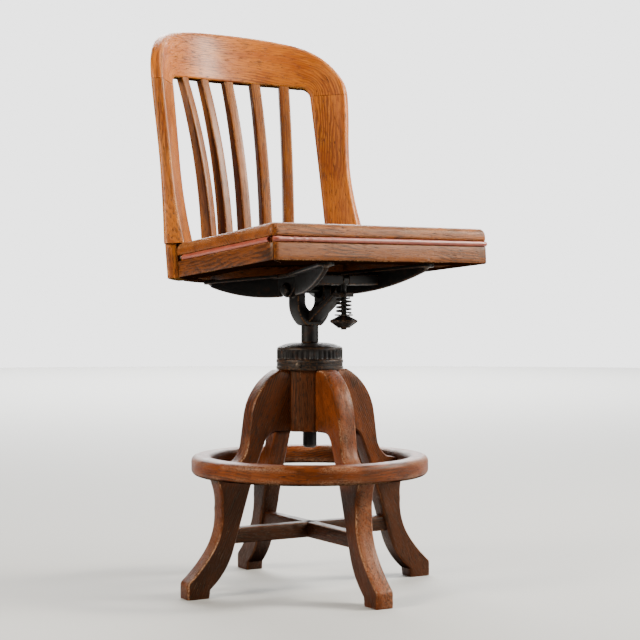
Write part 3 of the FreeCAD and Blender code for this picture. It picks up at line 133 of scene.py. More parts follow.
def arc(start: Sequence[float], end: Sequence[float], bow: float, step: float = 4.0) -> Array:
    """Points along an arc, without its end.

    Args:
        start: First point.
        end: Last point, left out.
        bow: Height of the arc over its chord; above zero bulges to the right of the way.
        step: Largest spacing.
    Returns:
        Points as rows.
    """
    a, b = np.array(start[:2], float), np.array(end[:2], float)
    chord = b - a
    count = max(2, int(np.hypot(*chord) / step) + 1)
    share = np.arange(count)[:, None] / count
    if abs(bow) < 1e-6:
        return a + chord * share
    half = 2 * math.atan(2 * bow)
    angle = (2 * share - 1) * half
    right = np.array([chord[1], -chord[0]])
    forward = 0.5 + np.sin(angle) / (2 * math.sin(half))
    aside = (np.cos(angle) - math.cos(half)) / (2 * math.sin(half))
    return a + chord * forward + right * aside


def path(corners: Sequence[Sequence[float]], closed: bool = False, step: float = 4.0) -> Array:
    """Points along lines and arcs.

    Args:
        corners: Points, each with a bow where an arc leads to the next.
        closed: Whether the last corner leads back to the first.
        step: Largest spacing.
    Returns:
        Points as rows, with the last corner only where the path is open.
    """
    following = list(corners[1:]) + ([corners[0]] if closed else [])
    runs = [arc(a, b, a[2] if len(a) > 2 else 0.0, step) for a, b in zip(corners, following)]
    if not closed:
        runs.append(np.array([corners[-1][:2]], float))
    return np.concatenate(runs)


def lengths(points: Array) -> Array:
    """Distance along a row of points to each of them."""
    steps = np.linalg.norm(np.diff(points, axis=0), axis=1)
    return np.concatenate([[0.0], np.cumsum(steps)])


def nearest(points: Array, spot: Sequence[float]) -> int:
    """Number of the point on a curve that is nearest to a spot."""
    return int(np.argmin(np.linalg.norm(points - np.array(spot, float), axis=1)))


def between(points: Array, first: Sequence[float], last: Sequence[float], count: int) -> Array:
    """Evenly spaced points on a curve from near one point to near another."""
    along = lengths(points)
    wanted = np.linspace(along[nearest(points, first)], along[nearest(points, last)], count)
    return np.stack([np.interp(wanted, along, points[:, k]) for k in range(2)], axis=1)


def paired(inner: Array, outer: Array, pairs: Sequence, step: float = 5.0) -> tuple[Array, Array]:
    """Matching stations along a board's two edges.

    Args:
        inner: Curve of one edge.
        outer: Curve of the other edge.
        pairs: Pairs of points, one on each edge, that stand opposite each other.
        step: Largest spacing of the stations.
    Returns:
        Points on the inner edge and on the outer edge, row for row.
    """
    rows_in, rows_out = [], []
    for (in_a, out_a), (in_b, out_b) in zip(pairs, pairs[1:]):
        span = max(math.dist(in_a, in_b), math.dist(out_a, out_b))
        count = max(2, int(span / step) + 2)
        first = 0 if not rows_in else 1
        rows_in.append(between(inner, in_a, in_b, count)[first:])
        rows_out.append(between(outer, out_a, out_b, count)[first:])
    return np.concatenate(rows_in), np.concatenate(rows_out)


def mirrored(pairs: Sequence) -> list:
    """The same pairs of points on the other side of x = 0."""
    return [tuple((-p[0], *p[1:]) for p in pair) for pair in pairs]


def strip(stations: Array, low: float, high: float) -> tuple[Array, Array]:
    """The two straight edges of a board between two levels, with the given stations along it."""
    edges = (np.stack([stations, np.full(len(stations), level)], axis=1) for level in (low, high))
    return tuple(edges)


def at_height(flat: Array, height: float) -> Array:
    """Points in plan, lifted to a height."""
    return np.hstack([flat, np.full((len(flat), 1), height)])


def bow_of(start: Sequence[float], end: Sequence[float], radius: float) -> float:
    """The bow of an arc of a radius between two points."""
    return math.tan(math.asin(math.dist(start, end) / (2 * radius)) / 2) / 2


def rounded_section(low: Sequence[float], high: Sequence[float], radius: float) -> Array:
    """A rounded oblong half section for a lathe, closed on itself, from its low corner to its high one."""
    (x0, z0), (x1, z1) = low, high
    ring = path([
        (x0 + radius, z0), (x1 - radius, z0, QUARTER), (x1, z0 + radius), (x1, z1 - radius, QUARTER),
        (x1 - radius, z1), (x0 + radius, z1, QUARTER), (x0, z1 - radius), (x0, z0 + radius, QUARTER)],
        True, radius / 6 * 1.6)
    return np.concatenate([ring, ring[:1]])


def boss(bore: float, radius: float, length: float) -> Array:
    """A boss's half section for a lathe, closed on itself, with a domed outer end."""
    return path([
        (bore, 0), (radius - 1, 0, 0.2), (radius, 1), (radius, length - 1), (radius - 1, length, 0.2),
        (bore, length), (bore, 0)], step=1.5)


def noise(points: Array, wave: float, seed: float = 0.0) -> Array:
    """A smooth wandering value between about -1 and 1 at each point, from sums of sines.

    Args:
        points: Points in millimetres.
        wave: Typical length of a wave.
        seed: Shifts the pattern.
    Returns:
        One value per point.
    """
    x, y, z = np.moveaxis(points / wave * 2 * math.pi, -1, 0)
    first = np.sin(x * 0.71 + y * 0.43 + z * 0.57 + seed) * np.cos(y * 0.61 - z * 0.37 + seed * 1.7)
    second = np.sin(x * 1.37 - y * 1.13 + z * 0.93 + seed * 2.3) * np.cos(z * 1.49 + x * 0.31 - seed)
    return 0.62 * first + 0.38 * second


# Meshes

@dataclass
class Skin:
    """Vertices, faces and the values that the finishes read, gathered from grids and caps."""

    points: list[Array] = field(default_factory=list)
    grain: list[Array] = field(default_factory=list)
    wear: list[Array] = field(default_factory=list)
    faces: list[Array] = field(default_factory=list)
    count: int = 0

    def add(self, points: Array, grain: Array, wear: Array) -> int:
        """Adds vertices and gives the index of the first."""
        first = self.count
        self.points.append(points.reshape(-1, 3))
        self.grain.append(np.broadcast_to(grain, points.shape).reshape(-1, 3))
        self.wear.append(np.broadcast_to(wear, points.shape[:-1]).reshape(-1))
        self.count += self.points[-1].shape[0]
        return first

    def grid(self, points: Array, grain: Array, wear: Array | float = 0.0,
             wrap_rows: bool = False, wrap_columns: bool = True) -> Array:
        """Adds a grid of quads.

        Args:
            points: Rows by columns of points.
            grain: Grain coordinates along, across and through, in millimetres.
            wear: How worn each point is, from 0 to 1.
            wrap_rows: Whether the last row joins the first.
            wrap_columns: Whether the last column joins the first.
        Returns:
            The vertex indices, rows by columns.
        """
        rows, columns = points.shape[:2]
        index = self.add(points, grain, wear) + np.arange(rows * columns).reshape(rows, columns)
        a = np.concatenate([index, index[:1]]) if wrap_rows else index
        a = np.concatenate([a, a[:, :1]], axis=1) if wrap_columns else a
        quads = np.stack([a[:-1, :-1], a[:-1, 1:], a[1:, 1:], a[1:, :-1]], axis=-1)
        self.faces.append(quads.reshape(-1, 4))
        return index

    def cap(self, loop: Array) -> None:
        """Closes a loop of vertices with one flat face."""
        self.faces.append(np.asarray(loop).reshape(1, -1))

    def join(self, first: Array, second: Array) -> None:
        """Joins two loops of vertices with a band of quads."""
        self.faces.append(np.stack([first, np.roll(first, -1), np.roll(second, -1), second], axis=-1))

    def mesh(self, name: str) -> bpy.types.Mesh:
        """The mesh in metres, with faces turned outwards and its values as attributes.

        Args:
            name: Of the mesh.
        Returns:
            The mesh.
        """
        mesh = bpy.data.meshes.new(name)
        totals = np.concatenate([np.full(len(run), run.shape[1]) for run in self.faces])
        starts = np.concatenate([[0], np.cumsum(totals)[:-1]])
        loops = np.concatenate([run.reshape(-1) for run in self.faces])
        mesh.vertices.add(self.count)
        mesh.loops.add(len(loops))
        mesh.polygons.add(len(totals))
        mesh.vertices.foreach_set("co", (np.concatenate(self.points) * METRE).astype(np.float32).ravel())
        mesh.loops.foreach_set("vertex_index", loops.astype(np.int32))
        mesh.polygons.foreach_set("loop_start", starts.astype(np.int32))
        mesh.polygons.foreach_set("loop_total", totals.astype(np.int32))
        grain = mesh.attributes.new("grain", "FLOAT_VECTOR", "POINT")
        grain.data.foreach_set("vector", (np.concatenate(self.grain) * METRE).astype(np.float32).ravel())
        wear = mesh.attributes.new("wear", "FLOAT", "POINT")
        wear.data.foreach_set("value", np.concatenate(self.wear).astype(np.float32))
        mesh.update(calc_edges=True)
        mesh.validate()
        shell = bmesh.new()
        shell.from_mesh(mesh)
        bmesh.ops.recalc_face_normals(shell, faces=shell.faces)
        shell.to_mesh(mesh)
        shell.free()
        mesh.shade_smooth()
        mesh.set_sharp_from_angle(angle=SMOOTH_ANGLE)
        return mesh


def rounded_loop(across: int, corner: int, deep: int) -> Array:
    """A rounded oblong section in shares.

    Args:
        across: Points along each long side.
        corner: Points round each corner.
        deep: Points along each short side.
    Returns:
        Rows of share across, share through, and unit offsets of the rounding across and through.
    """
    rows = []
    turn = np.linspace(0, math.pi / 2, corner + 2)[1:-1]
    ends = np.array([(0, 0), (1, 0), (1, 1), (0, 1), (0, 0)], float)
    for number, count in enumerate((across, deep, across, deep)):
        start, end = ends[number:number + 2]
        facing = (number - 1) * math.pi / 2
        share = np.linspace(0, 1, count)[:, None]
        flat_way = np.tile([math.cos(facing), math.sin(facing)], (count, 1))
        round_way = np.stack([np.cos(facing + turn), np.sin(facing + turn)], axis=1)
        rows.append(np.hstack([start * (1 - share) + end * share, flat_way]))
        rows.append(np.hstack([np.tile(end, (corner, 1)), round_way]))
    return np.concatenate(rows)


@dataclass(frozen=True)
class Board:
    """A sawn board: two edge curves in its plane, a thickness and rounded arrises.

    Attributes:
        inner: One edge, as rows of points.
        outer: The other edge, station for station.
        thickness: Through the board.
        radius: Rounding of the long arrises.
        grain_way: Direction of the grain in the board's plane.
        across: Points across each face.
        end_round: Rounding of the two ends.
        flutter: Unevenness of the worn arrises, in millimetres.
        inner_wear: How worn the arrises of the inner edge are, against those of the outer.
        edge_wear: How worn the outer edge is between its arrises.
        bent: Whether the grain follows the board's curve.
    """

    inner: Array
    outer: Array
    thickness: float
    radius: float = 3.0
    grain_way: tuple[float, float] = (1.0, 0.0)
    across: int = 7
    end_round: float = 1.2
    flutter: float = 0.25
    inner_wear: float = 1.0
    edge_wear: float = 0.0
    bent: bool = False

    def put(self, skin: Skin, place: BoardPlace, shift: Sequence[float] = (0, 0, 0)) -> None:
        """Adds the board to a skin: a rounded section at each station, fitted between the two edges.

        Args:
            skin: Where to add it.
            place: Takes points in the board's plane and depths through it to points in space.
            shift: Moves the grain, so that no two boards look alike.
        """
        inner, outer, shrink = self.with_round_ends()
        loop = rounded_loop(self.across, 4, 4)
        share_a, share_b, off_a, off_b = loop.T
        width_way = outer - inner
        width = np.linalg.norm(width_way, axis=1, keepdims=True)
        radius = min(self.radius, self.thickness / 2.2)
        edge = np.minimum(radius, width / 2.2)
        aside = edge + share_a * (width - 2 * edge) + edge * off_a
        depth = radius + share_b * (self.thickness - 2 * radius) + radius * off_b
        aside = width / 2 + (aside - width / 2) * (1 - 2 * shrink / np.maximum(width, 1e-6))
        depth = self.thickness / 2 + (depth - self.thickness / 2) * (1 - 2 * shrink / self.thickness)
        flat = inner[:, None, :] + (width_way / np.maximum(width, 1e-6))[:, None, :] * aside[..., None]
        arris = np.clip(2.2 * np.abs(off_a * off_b), 0, 1)
        points = place(flat, depth)
        dent = noise(points, 31.0, shift[0]) * noise(points, 83.0, shift[1] + 1.0)
        centre = points.mean(axis=1, keepdims=True)
        inward = centre - points
        inward /= np.maximum(np.linalg.norm(inward, axis=-1, keepdims=True), 1e-6)
        points = points + inward * (arris * self.flutter * (1 + dent))[..., None]
        way = np.array(self.grain_way) / np.hypot(*self.grain_way)
        cross = np.array([-way[1], way[0]])
        if self.bent:
            along = lengths((inner + outer) / 2)[:, None]
        else:
            along, aside = flat @ way, flat @ cross
        grain = np.stack(np.broadcast_arrays(along, aside, depth), axis=-1) + np.array(shift) * 100.0
        worn = np.maximum(arris * np.where(off_a < 0, self.inner_wear, 1.0), self.edge_wear * (off_a > 0.95))
        wear = np.maximum(worn, np.clip(shrink / max(self.end_round, 1e-6), 0, 1) * 0.6)
        index = skin.grid(points, grain, np.broadcast_to(wear, points.shape[:2]))
        skin.cap(index[0])
        skin.cap(index[-1])

    def with_round_ends(self) -> tuple[Array, Array, Array]:
        """The stations with a few more at each end, and how far each section is drawn in."""
        if self.end_round <= 0:
            return self.inner, self.outer, np.zeros((len(self.inner), 1))
        turns = np.linspace(0, math.pi / 2, 4)[:-1]
        drawn = self.end_round * (1 - np.sin(turns))
        reach = self.end_round * (1 - np.cos(turns))
        runs = []
        for edge in (self.inner, self.outer):
            first = (edge[1] - edge[0]) / max(np.linalg.norm(edge[1] - edge[0]), 1e-6)
            last = (edge[-2] - edge[-1]) / max(np.linalg.norm(edge[-2] - edge[-1]), 1e-6)
            head = edge[0] + first * reach[:, None]
            tail = edge[-1] + last * reach[::-1, None]
            runs.append(np.concatenate([head, edge[1:-1], tail]))
        shrink = np.concatenate([drawn, np.zeros(len(self.inner) - 2), drawn[::-1]])[:, None]
        return runs[0], runs[1], shrink


def lathe(skin: Skin, profile: Array, place: Place, steps: int = 96,
          ripple: Callable[[Array, Array], Array] | None = None, along_z: bool = True) -> None:
    """Adds a turned form: a profile carried round the Z axis.

    Args:
        skin: Where to add it.
        profile: Radius and height of each station; ends off the axis are capped flat.
        place: Moves the points.
        steps: Points round.
        ripple: Added to the radius, from angle and height.
        along_z: Whether the grain runs along the axis, or else round it.
    """
    angle = np.linspace(0, 2 * math.pi, steps, endpoint=False)[None, :]
    radius = np.repeat(profile[:, :1], steps, axis=1)
    height = np.repeat(profile[:, 1:], steps, axis=1)
    if ripple is not None:
        radius = radius + ripple(np.broadcast_to(angle, radius.shape), height)
    points = np.stack([radius * np.cos(angle), radius * np.sin(angle), height], axis=-1)
    if along_z:
        grain = np.stack([height, radius * np.cos(angle), radius * np.sin(angle)], axis=-1)
    else:
        middle = profile[:, 0].mean()
        grain = np.stack([np.broadcast_to(angle, radius.shape) * middle, radius, height], axis=-1)
    bend = np.abs(np.gradient(np.unwrap(np.arctan2(np.gradient(profile[:, 1]), np.gradient(profile[:, 0])))))
    wear = np.clip(bend * 1.4, 0, 1)[:, None] * np.ones((1, steps))
    index = skin.grid(place(points), grain, wear)
    if np.hypot(*(profile[0] - profile[-1])) < 1e-6:
        return
    skin.cap(index[0])
    skin.cap(index[-1])


def along_x(place: Place, centre: Sequence[float], start: float, sign: float = 1.0) -> Place:
    """Lays a form turned about Z along X instead.

    Args:
        place: Moves the points afterwards.
        centre: Y and Z of the new axis.
        start: X where the form's zero comes to lie.
        sign: -1 where the form runs towards -X.
    Returns:
        The function that moves an array of points.
    """
    y, z = centre

    def move(points: Array) -> Array:
        """Sends the form's axis along X and the rest to Y and Z."""
        a, b, c = np.moveaxis(points, -1, 0)
        return place(np.stack([start + sign * c, y + a, z + b], axis=-1))

    return move


def tube(skin: Skin, centres: Array, radius: Array, place: Place, steps: int = 20) -> Array:
    """Adds a round tube along a row of points.

    Args:
        skin: Where to add it.
        centres: Points along the middle.
        radius: Radius at each point, or at each point and step.
        place: Moves the points.
        steps: Points round.
    Returns:
        The vertex indices, rows by columns.
    """
    way = np.gradient(centres, axis=0)
    way /= np.linalg.norm(way, axis=1, keepdims=True)
    aside = np.cross(way, np.array([0.0, 0.0, 1.0]))
    aside /= np.linalg.norm(aside, axis=1, keepdims=True)
    up = np.cross(aside, way)
    angle = np.linspace(0, 2 * math.pi, steps, endpoint=False)
    ring = aside[:, None, :] * np.cos(angle)[None, :, None] + up[:, None, :] * np.sin(angle)[None, :, None]
    reach = np.broadcast_to(radius, (len(centres), steps))
    points = centres[:, None, :] + ring * reach[..., None]
    along = np.repeat(lengths(centres)[:, None], steps, axis=1)
    grain = np.stack([along, reach * np.cos(angle), reach * np.sin(angle)], axis=-1)
    return skin.grid(place(points), grain, np.clip(np.sin(angle), 0, 1)[None, :] * np.ones((len(centres), 1)))


def laid(place: Place, order: str, start: float) -> BoardPlace:
    """Lays a board's plane and depth on the three axes.

    Args:
        place: Moves the points afterwards.
        order: What goes to X, Y and Z: a and b for the plane's two coordinates, d for the depth.
        start: Where the depth starts.
    Returns:
        The function that places a board's points.
    """
    def move(flat: Array, depth: Array) -> Array:
        """Puts the three coordinates in their order."""
        values = {"a": flat[..., 0], "b": flat[..., 1], "d": np.broadcast_to(depth + start, flat.shape[:2])}
        return place(np.stack([values[letter] for letter in order], axis=-1))

    return move


def block(skin: Skin, low: Sequence[float], high: Sequence[float], place: Place, radius: float = 1.5) -> None:
    """Adds an upright block with rounded arrises, from its low corner to its high one."""
    inner, outer = strip(np.linspace(low[0], high[0], 6), low[1], high[1])
    board = Board(inner, outer, high[2] - low[2], radius, across=4, end_round=radius, flutter=0.05)
    board.put(skin, laid(place, "abd", low[2]))


def plate_with_hole(skin: Skin, outer: Array, hole: Array, low: float, high: float, place: Place,
                    edge: float = 1.0) -> None:
    """Adds a flat plate with a hole, its outer edges chamfered: rings joined round the section.

    Args:
        skin: Where to add it.
        outer: Outline, as many points as the hole and in step with it.
        hole: Outline of the hole.
        low: Height of the underside.
        high: Height of the top.
        place: Moves the points.
        edge: Size of the chamfer.
    """
    middle = hole.mean(axis=0)
    inwards = (middle - outer) / np.linalg.norm(middle - outer, axis=1, keepdims=True)
    levels = [(outer + inwards * edge, high), (outer, high - edge), (outer, low + edge),
              (outer + inwards * edge, low), (hole, low), (hole, high)]
    points = np.stack([at_height(ring, z) for ring, z in levels])
    skin.grid(place(points), points, 0.3, wrap_rows=True)


def resampled(points: Array, count: int) -> Array:
    """A closed outline again with evenly spaced points."""
    ring = np.concatenate([points, points[:1]])
    along = lengths(ring)
    wanted = np.linspace(0, along[-1], count, endpoint=False)
    return np.stack([np.interp(wanted, along, ring[:, k]) for k in range(2)], axis=1)


def inset(points: Array, amount: Array | float) -> Array:
    """A closed anticlockwise outline drawn in, evenly or by an amount for each point."""
    ahead = np.roll(points, -1, axis=0) - points
    ahead /= np.maximum(np.linalg.norm(ahead, axis=1, keepdims=True), 1e-9)
    left = np.stack([-ahead[:, 1], ahead[:, 0]], axis=1)
    normal = left + np.roll(left, 1, axis=0)
    square = np.maximum((normal ** 2).sum(axis=1, keepdims=True), 1.0)
    return points + normal * (2 * amount / square)


# Finishes

def srgb(code: str) -> tuple[float, float, float, float]:
    """A hex colour as linear light with full alpha."""
    parts = [int(code[k:k + 2], 16) / 255 for k in (1, 3, 5)]
    linear = [p / 12.92 if p <= 0.04045 else ((p + 0.055) / 1.055) ** 2.4 for p in parts]
    return (*linear, 1.0)


class Kind(Enum):
    """Shader nodes in use: type, settings, inputs in the order they are given, and output."""

    GRAIN = ("Attribute", {"attribute_name": "grain"}, (), "Vector")
    WEAR = ("Attribute", {"attribute_name": "wear"}, (), "Fac")
    TONE_AND_PAINTED_LIGHT = ("Attribute", {"attribute_name": "tone"}, (), "Fac")
    FACING = ("NewGeometry", {}, (), "Normal")
    PLACE = ("TexCoord", {}, (), "Object")
    LOOK = ("TexCoord", {}, (), "Generated")
    SPLIT = ("SeparateXYZ", {}, ("Vector",), "X")
    SIZED = ("VectorMath", {"operation": "DIVIDE"}, (0, 1), "Vector")
    ALONG = ("VectorMath", {"operation": "DOT_PRODUCT"}, (0, 1), "Value")
    PLUS = ("Math", {"operation": "ADD"}, (0, 1), "Value")
    LESS = ("Math", {"operation": "SUBTRACT"}, (0, 1), "Value")
    TIMES = ("Math", {"operation": "MULTIPLY"}, (0, 1), "Value")
    OVER = ("Math", {"operation": "DIVIDE"}, (0, 1), "Value")
    LARGER = ("Math", {"operation": "MAXIMUM"}, (0, 1), "Value")
    ROOT = ("Math", {"operation": "SQRT"}, (0,), "Value")
    FRACTION = ("Math", {"operation": "FRACT"}, (0,), "Value")
    CAPPED_PLUS = ("Math", {"operation": "ADD", "use_clamp": True}, (0, 1), "Value")
    CAPPED_LESS = ("Math", {"operation": "SUBTRACT", "use_clamp": True}, (0, 1), "Value")
    CLOUD = ("TexNoise", {}, ("Vector", "Scale", "Detail", "Roughness"), "Fac")
    STEP = ("MapRange", {"interpolation_type": "SMOOTHSTEP"},
            ("Value", "From Min", "From Max", "To Min", "To Max"), "Result")
    BLEND = ("MixRGB", {"blend_type": "MIX"}, ("Fac", "Color1", "Color2"), "Color")
    TINT = ("MixRGB", {"blend_type": "MULTIPLY"}, ("Fac", "Color1", "Color2"), "Color")
    BUMP = ("Bump", {}, ("Height", "Strength", "Distance", "Normal"), "Normal")


class Graph:
    """A node tree that feeds one surface node."""

    def __init__(self, tree: bpy.types.NodeTree, surface: str) -> None:
        """Takes the tree and the name of its surface node."""
        self.tree = tree
        self.surface = tree.nodes[surface]

    def add(self, kind: Kind, *inputs: Feed) -> Socket:
        """Adds a node with its settings and links.

        Args:
            kind: What the node is.
            *inputs: Values or sockets, in the order that the kind gives.
        Returns:
            The output that the kind names.
        """
        label, settings, names, output = kind.value
        node = self.tree.nodes.new("ShaderNode" + label)
        for key, value in settings.items():
            setattr(node, key, value)
        for name, value in zip(names, inputs):
            self.feed(node.inputs[name], value)
        return node.outputs[output]

    def feed(self, socket: Socket, value: Feed) -> None:
        """Links a socket or sets its value."""
        if isinstance(value, Socket):
            self.tree.links.new(value, socket)
        else:
            socket.default_value = value

    def set(self, **inputs: Feed) -> None:
        """Feeds inputs of the surface by name, with underscores for spaces."""
        for key, value in inputs.items():
            self.feed(self.surface.inputs[key.replace("_", " ")], value)


def new_material(name: str) -> tuple[bpy.types.Material, Graph]:
    """A material and the graph that feeds its surface."""
    made = bpy.data.materials.new(name)
    made.use_nodes = True
    return made, Graph(made.node_tree, "Principled BSDF")


def grain_of(graph: Graph) -> Socket:
    """The piece's grain coordinates in millimetres."""
    return graph.add(Kind.SIZED, graph.add(Kind.GRAIN), (METRE, METRE, METRE))


def streaks(graph: Graph, grain: Socket, length: float, width: float, detail: float = 2.0,
            roughness: float = 0.5) -> Socket:
    """Noise drawn out along the grain.

    Args:
        graph: The material's graph.
        grain: Grain coordinates in millimetres.
        length: Typical size along the grain, in millimetres.
        width: Typical size across it.
        detail: How many finer layers are added.
        roughness: How strong each finer layer is.
    Returns:
        A value about one half.
    """
    sized = graph.add(Kind.SIZED, grain, (length, width, width))
    return graph.add(Kind.CLOUD, sized, 1.0, detail, roughness)


@dataclass(frozen=True)
class OakFinish:
    """Plain-sawn oak under old varnish.

    Attributes:
        name: Material name.
        light: Colour of the wood between the growth rings.
        dark: Colour of the late wood.
        amber: Colour where the varnish lies thick.
        pore: Colour of the open pores, filled with old dirt.
        scuff: Bare wood where the varnish has worn off.
        grime_and_shadow: Dirt in broad stains, and the colour of the painted shadow below the foot ring.
        pith: Where the tree's middle lay, across the board and behind it, in millimetres.
        gloss: Strength of the varnish coat.
        stain: Share of the surface under dark stains.
        ring: Spacing of the growth rings in millimetres.
        worn: How much of the arrises is worn bare.
        underside_shade: Painted shade on faces that turn down, near black.
        shine: Tint that the aged varnish gives to reflections.
        ring_shadow_heights: Heights in metres between which the painted shadow below the foot ring begins.
    """

    name: str
    light: str
    dark: str
    amber: str
    pore: str
    scuff: str
    grime_and_shadow: str
    pith: tuple[float, float]
    gloss: float
    stain: float
    ring: float
    worn: float
    underside_shade: str = "#080301"
    shine: str = "#FFDDB0"
    ring_shadow_heights: tuple[float, float] = (0.21, 0.18)

    def material(self) -> bpy.types.Material:
        """Builds the material: wood, stains and painted shade on it, worn arrises and an uneven coat.

        Returns:
            The material, which reads the piece's grain, wear and tone, the tone holding painted shade and
            sheen.
        """
        made, g = new_material(self.name)
        grain, wear = grain_of(g), g.add(Kind.WEAR)
        fibre = streaks(g, grain, 20.0, 1.25, 4.0, 0.65)
        upward = g.add(Kind.SPLIT, g.add(Kind.FACING)).node.outputs["Z"]
        under = g.add(Kind.STEP, g.add(Kind.TIMES, upward, -1.0), 0.4, 0.8)
        colour, pores = self.wood(g, grain, fibre)
        colour = self.soiled(g, grain, colour, wear, under)
        bare = self.bare(g, grain, wear)
        colour = g.add(Kind.BLEND, bare, colour, srgb(self.scuff))
        smear = streaks(g, grain, 33.3, 16.7, 4.0, 0.65)
        rough = g.add(Kind.PLUS, 0.3, g.add(Kind.TIMES, smear, 0.35))
        rough = g.add(Kind.PLUS, rough, g.add(Kind.TIMES, bare, 0.25))
        rough = g.add(Kind.CAPPED_PLUS, rough, under)
        relief = g.add(Kind.LESS, g.add(Kind.TIMES, fibre, 0.6), g.add(Kind.TIMES, pores, 0.9))
        relief = g.add(Kind.LESS, relief, g.add(Kind.TIMES, bare, 0.6))
        normal = g.add(Kind.BUMP, relief, 1.0, 0.001)
        normal = g.add(Kind.BUMP, streaks(g, grain, 50.0, 16.7), 0.4, 0.003, normal)
        open_air = g.add(Kind.LESS, 1.0, under)
        whole = g.add(Kind.LESS, self.gloss, g.add(Kind.TIMES, bare, self.gloss))
        g.set(Base_Color=colour, Roughness=rough, Normal=normal, Specular_Tint=srgb(self.shine),
              Specular_IOR_Level=g.add(Kind.TIMES, open_air, 0.08 + 0.7 * self.gloss),
              Coat_Weight=g.add(Kind.TIMES, whole, open_air), Coat_Roughness=0.34)
        return made

    def wood(self, g: Graph, grain: Socket, fibre: Socket) -> tuple[Socket, Socket]:
        """The clean wood: fibre and growth rings, thick varnish in patches, dark pores in the early wood.

        Args:
            g: The material's graph.
            grain: Grain coordinates in millimetres.
            fibre: Fine streaks.
        Returns:
            The colour, and how far each point is in a pore.
        """
        late, early = self.rings(g, grain)
        # Oak's pores are some 0.3 mm wide; they are drawn as coarse as the picture can show.
        pores = g.add(Kind.STEP, streaks(g, grain, 16.7, 2.5, 4.0, 0.7), 0.54, 0.63)
        pores = g.add(Kind.TIMES, pores, g.add(Kind.PLUS, g.add(Kind.TIMES, early, 0.6), 0.4))
        shown = g.add(Kind.STEP, streaks(g, grain, 143.0, 50.0), 0.45, 0.65)
        lines = g.add(Kind.TIMES, late, g.add(Kind.PLUS, g.add(Kind.TIMES, shown, 0.4), 0.1))
        tone = g.add(Kind.PLUS, lines, g.add(Kind.TIMES, fibre, 0.7))
        colour = g.add(Kind.BLEND, g.add(Kind.STEP, tone, 0.25, 0.72), srgb(self.light), srgb(self.dark))
        thick = g.add(Kind.STEP, streaks(g, grain, 71.4, 25.0, 5.0, 0.66), 0.4, 0.66)
        colour = g.add(Kind.BLEND, g.add(Kind.TIMES, thick, 0.75), colour, srgb(self.amber))
        return g.add(Kind.BLEND, g.add(Kind.TIMES, pores, 0.95), colour, srgb(self.pore)), pores

    def soiled(self, g: Graph, grain: Socket, colour: Socket, wear: Socket, under: Socket) -> Socket:
        """The colour with stains, the piece's tone with painted shade and sheen in it, painted shade on
        undersides and a painted shadow below the foot ring.

        Args:
            g: The material's graph.
            grain: Grain coordinates in millimetres.
            colour: Of the clean wood.
            wear: How worn each point is.
            under: How far each point faces down.
        Returns:
            The colour.
        """
        least, spread = 0.64 - 0.22 * self.stain, 0.22
        patches = streaks(g, grain, 91.0, 38.5, 5.0, 0.7)
        stain = g.add(Kind.TIMES, g.add(Kind.STEP, patches, least, least + spread), 0.8)
        colour = g.add(Kind.BLEND, stain, colour, srgb(self.grime_and_shadow))
        # The piece's tone lightens or darkens it: partly its own tone, largely painted shade on pieces in
        # shade and a painted sheen on the slab.
        colour = g.add(Kind.TINT, 1.0, colour, g.add(Kind.PLUS, g.add(Kind.TONE_AND_PAINTED_LIGHT), 1.0))
        # Faces that turn down are blended to near black: painted shade under the seat, the rails and the
        # base.
        colour = g.add(Kind.BLEND, g.add(Kind.TIMES, under, 0.93), colour, srgb(self.underside_shade))
        # Below the foot ring the wood is painted darker, a painted shadow of the ring, spared on worn arrises
        # and the legs' outer edges.
        height = g.add(Kind.SPLIT, g.add(Kind.PLACE)).node.outputs["Z"]
        low = g.add(Kind.STEP, height, *self.ring_shadow_heights)
        ring_shadow = g.add(Kind.TIMES, low, g.add(Kind.STEP, wear, 0.2, 0.0))
        return g.add(Kind.BLEND, g.add(Kind.TIMES, ring_shadow, 0.62), colour, srgb(self.grime_and_shadow))

    def bare(self, g: Graph, grain: Socket, wear: Socket) -> Socket:
        """Where the varnish is gone: specks along knocked arrises, and scratches.

        Args:
            g: The material's graph.
            grain: Grain coordinates in millimetres.
            wear: How worn each point is.
        Returns:
            How bare each point is.
        """
        knocked = g.add(Kind.STEP, streaks(g, grain, 62.5, 33.3), 0.42, 0.6)
        speck = g.add(Kind.STEP, streaks(g, grain, 2.5, 2.0, 4.0, 0.75), 0.5 - 0.06 * self.worn, 0.56)
        rubbed = g.add(Kind.TIMES, speck, g.add(Kind.TIMES, wear, knocked))
        scratch = g.add(Kind.STEP, streaks(g, grain, 25.0, 1.11, 3.0, 0.6), 0.66, 0.71)
        scratch = g.add(Kind.TIMES, scratch, g.add(Kind.TIMES, knocked, 0.5))
        return g.add(Kind.TIMES, g.add(Kind.LARGER, rubbed, scratch), self.worn)

    def rings(self, g: Graph, grain: Socket) -> tuple[Socket, Socket]:
        """Growth rings about a pith beside the board, which leans a little to the grain.

        Args:
            g: The material's graph.
            grain: Grain coordinates in millimetres.
        Returns:
            How far into the late wood each point is, and how far into the porous early wood.
        """
        drift = streaks(g, grain, 250.0, 71.4, 3.0, 0.55)
        along, across, through = g.add(Kind.SPLIT, grain).node.outputs
        lean = g.add(Kind.PLUS, g.add(Kind.TIMES, along, 0.06), g.add(Kind.TIMES, drift, 46.0))
        across = g.add(Kind.PLUS, across, self.pith[0])
        through = g.add(Kind.PLUS, g.add(Kind.PLUS, through, lean), self.pith[1])
        square = g.add(Kind.PLUS, g.add(Kind.TIMES, across, across), g.add(Kind.TIMES, through, through))
        phase = g.add(Kind.FRACTION, g.add(Kind.OVER, g.add(Kind.ROOT, square), self.ring))
        early = g.add(Kind.LESS, 1.0, g.add(Kind.STEP, phase, 0.12, 0.45))
        ended = g.add(Kind.LESS, 1.0, g.add(Kind.STEP, phase, 0.94, 1.0))
        return g.add(Kind.TIMES, g.add(Kind.STEP, phase, 0.2, 0.85), ended), early


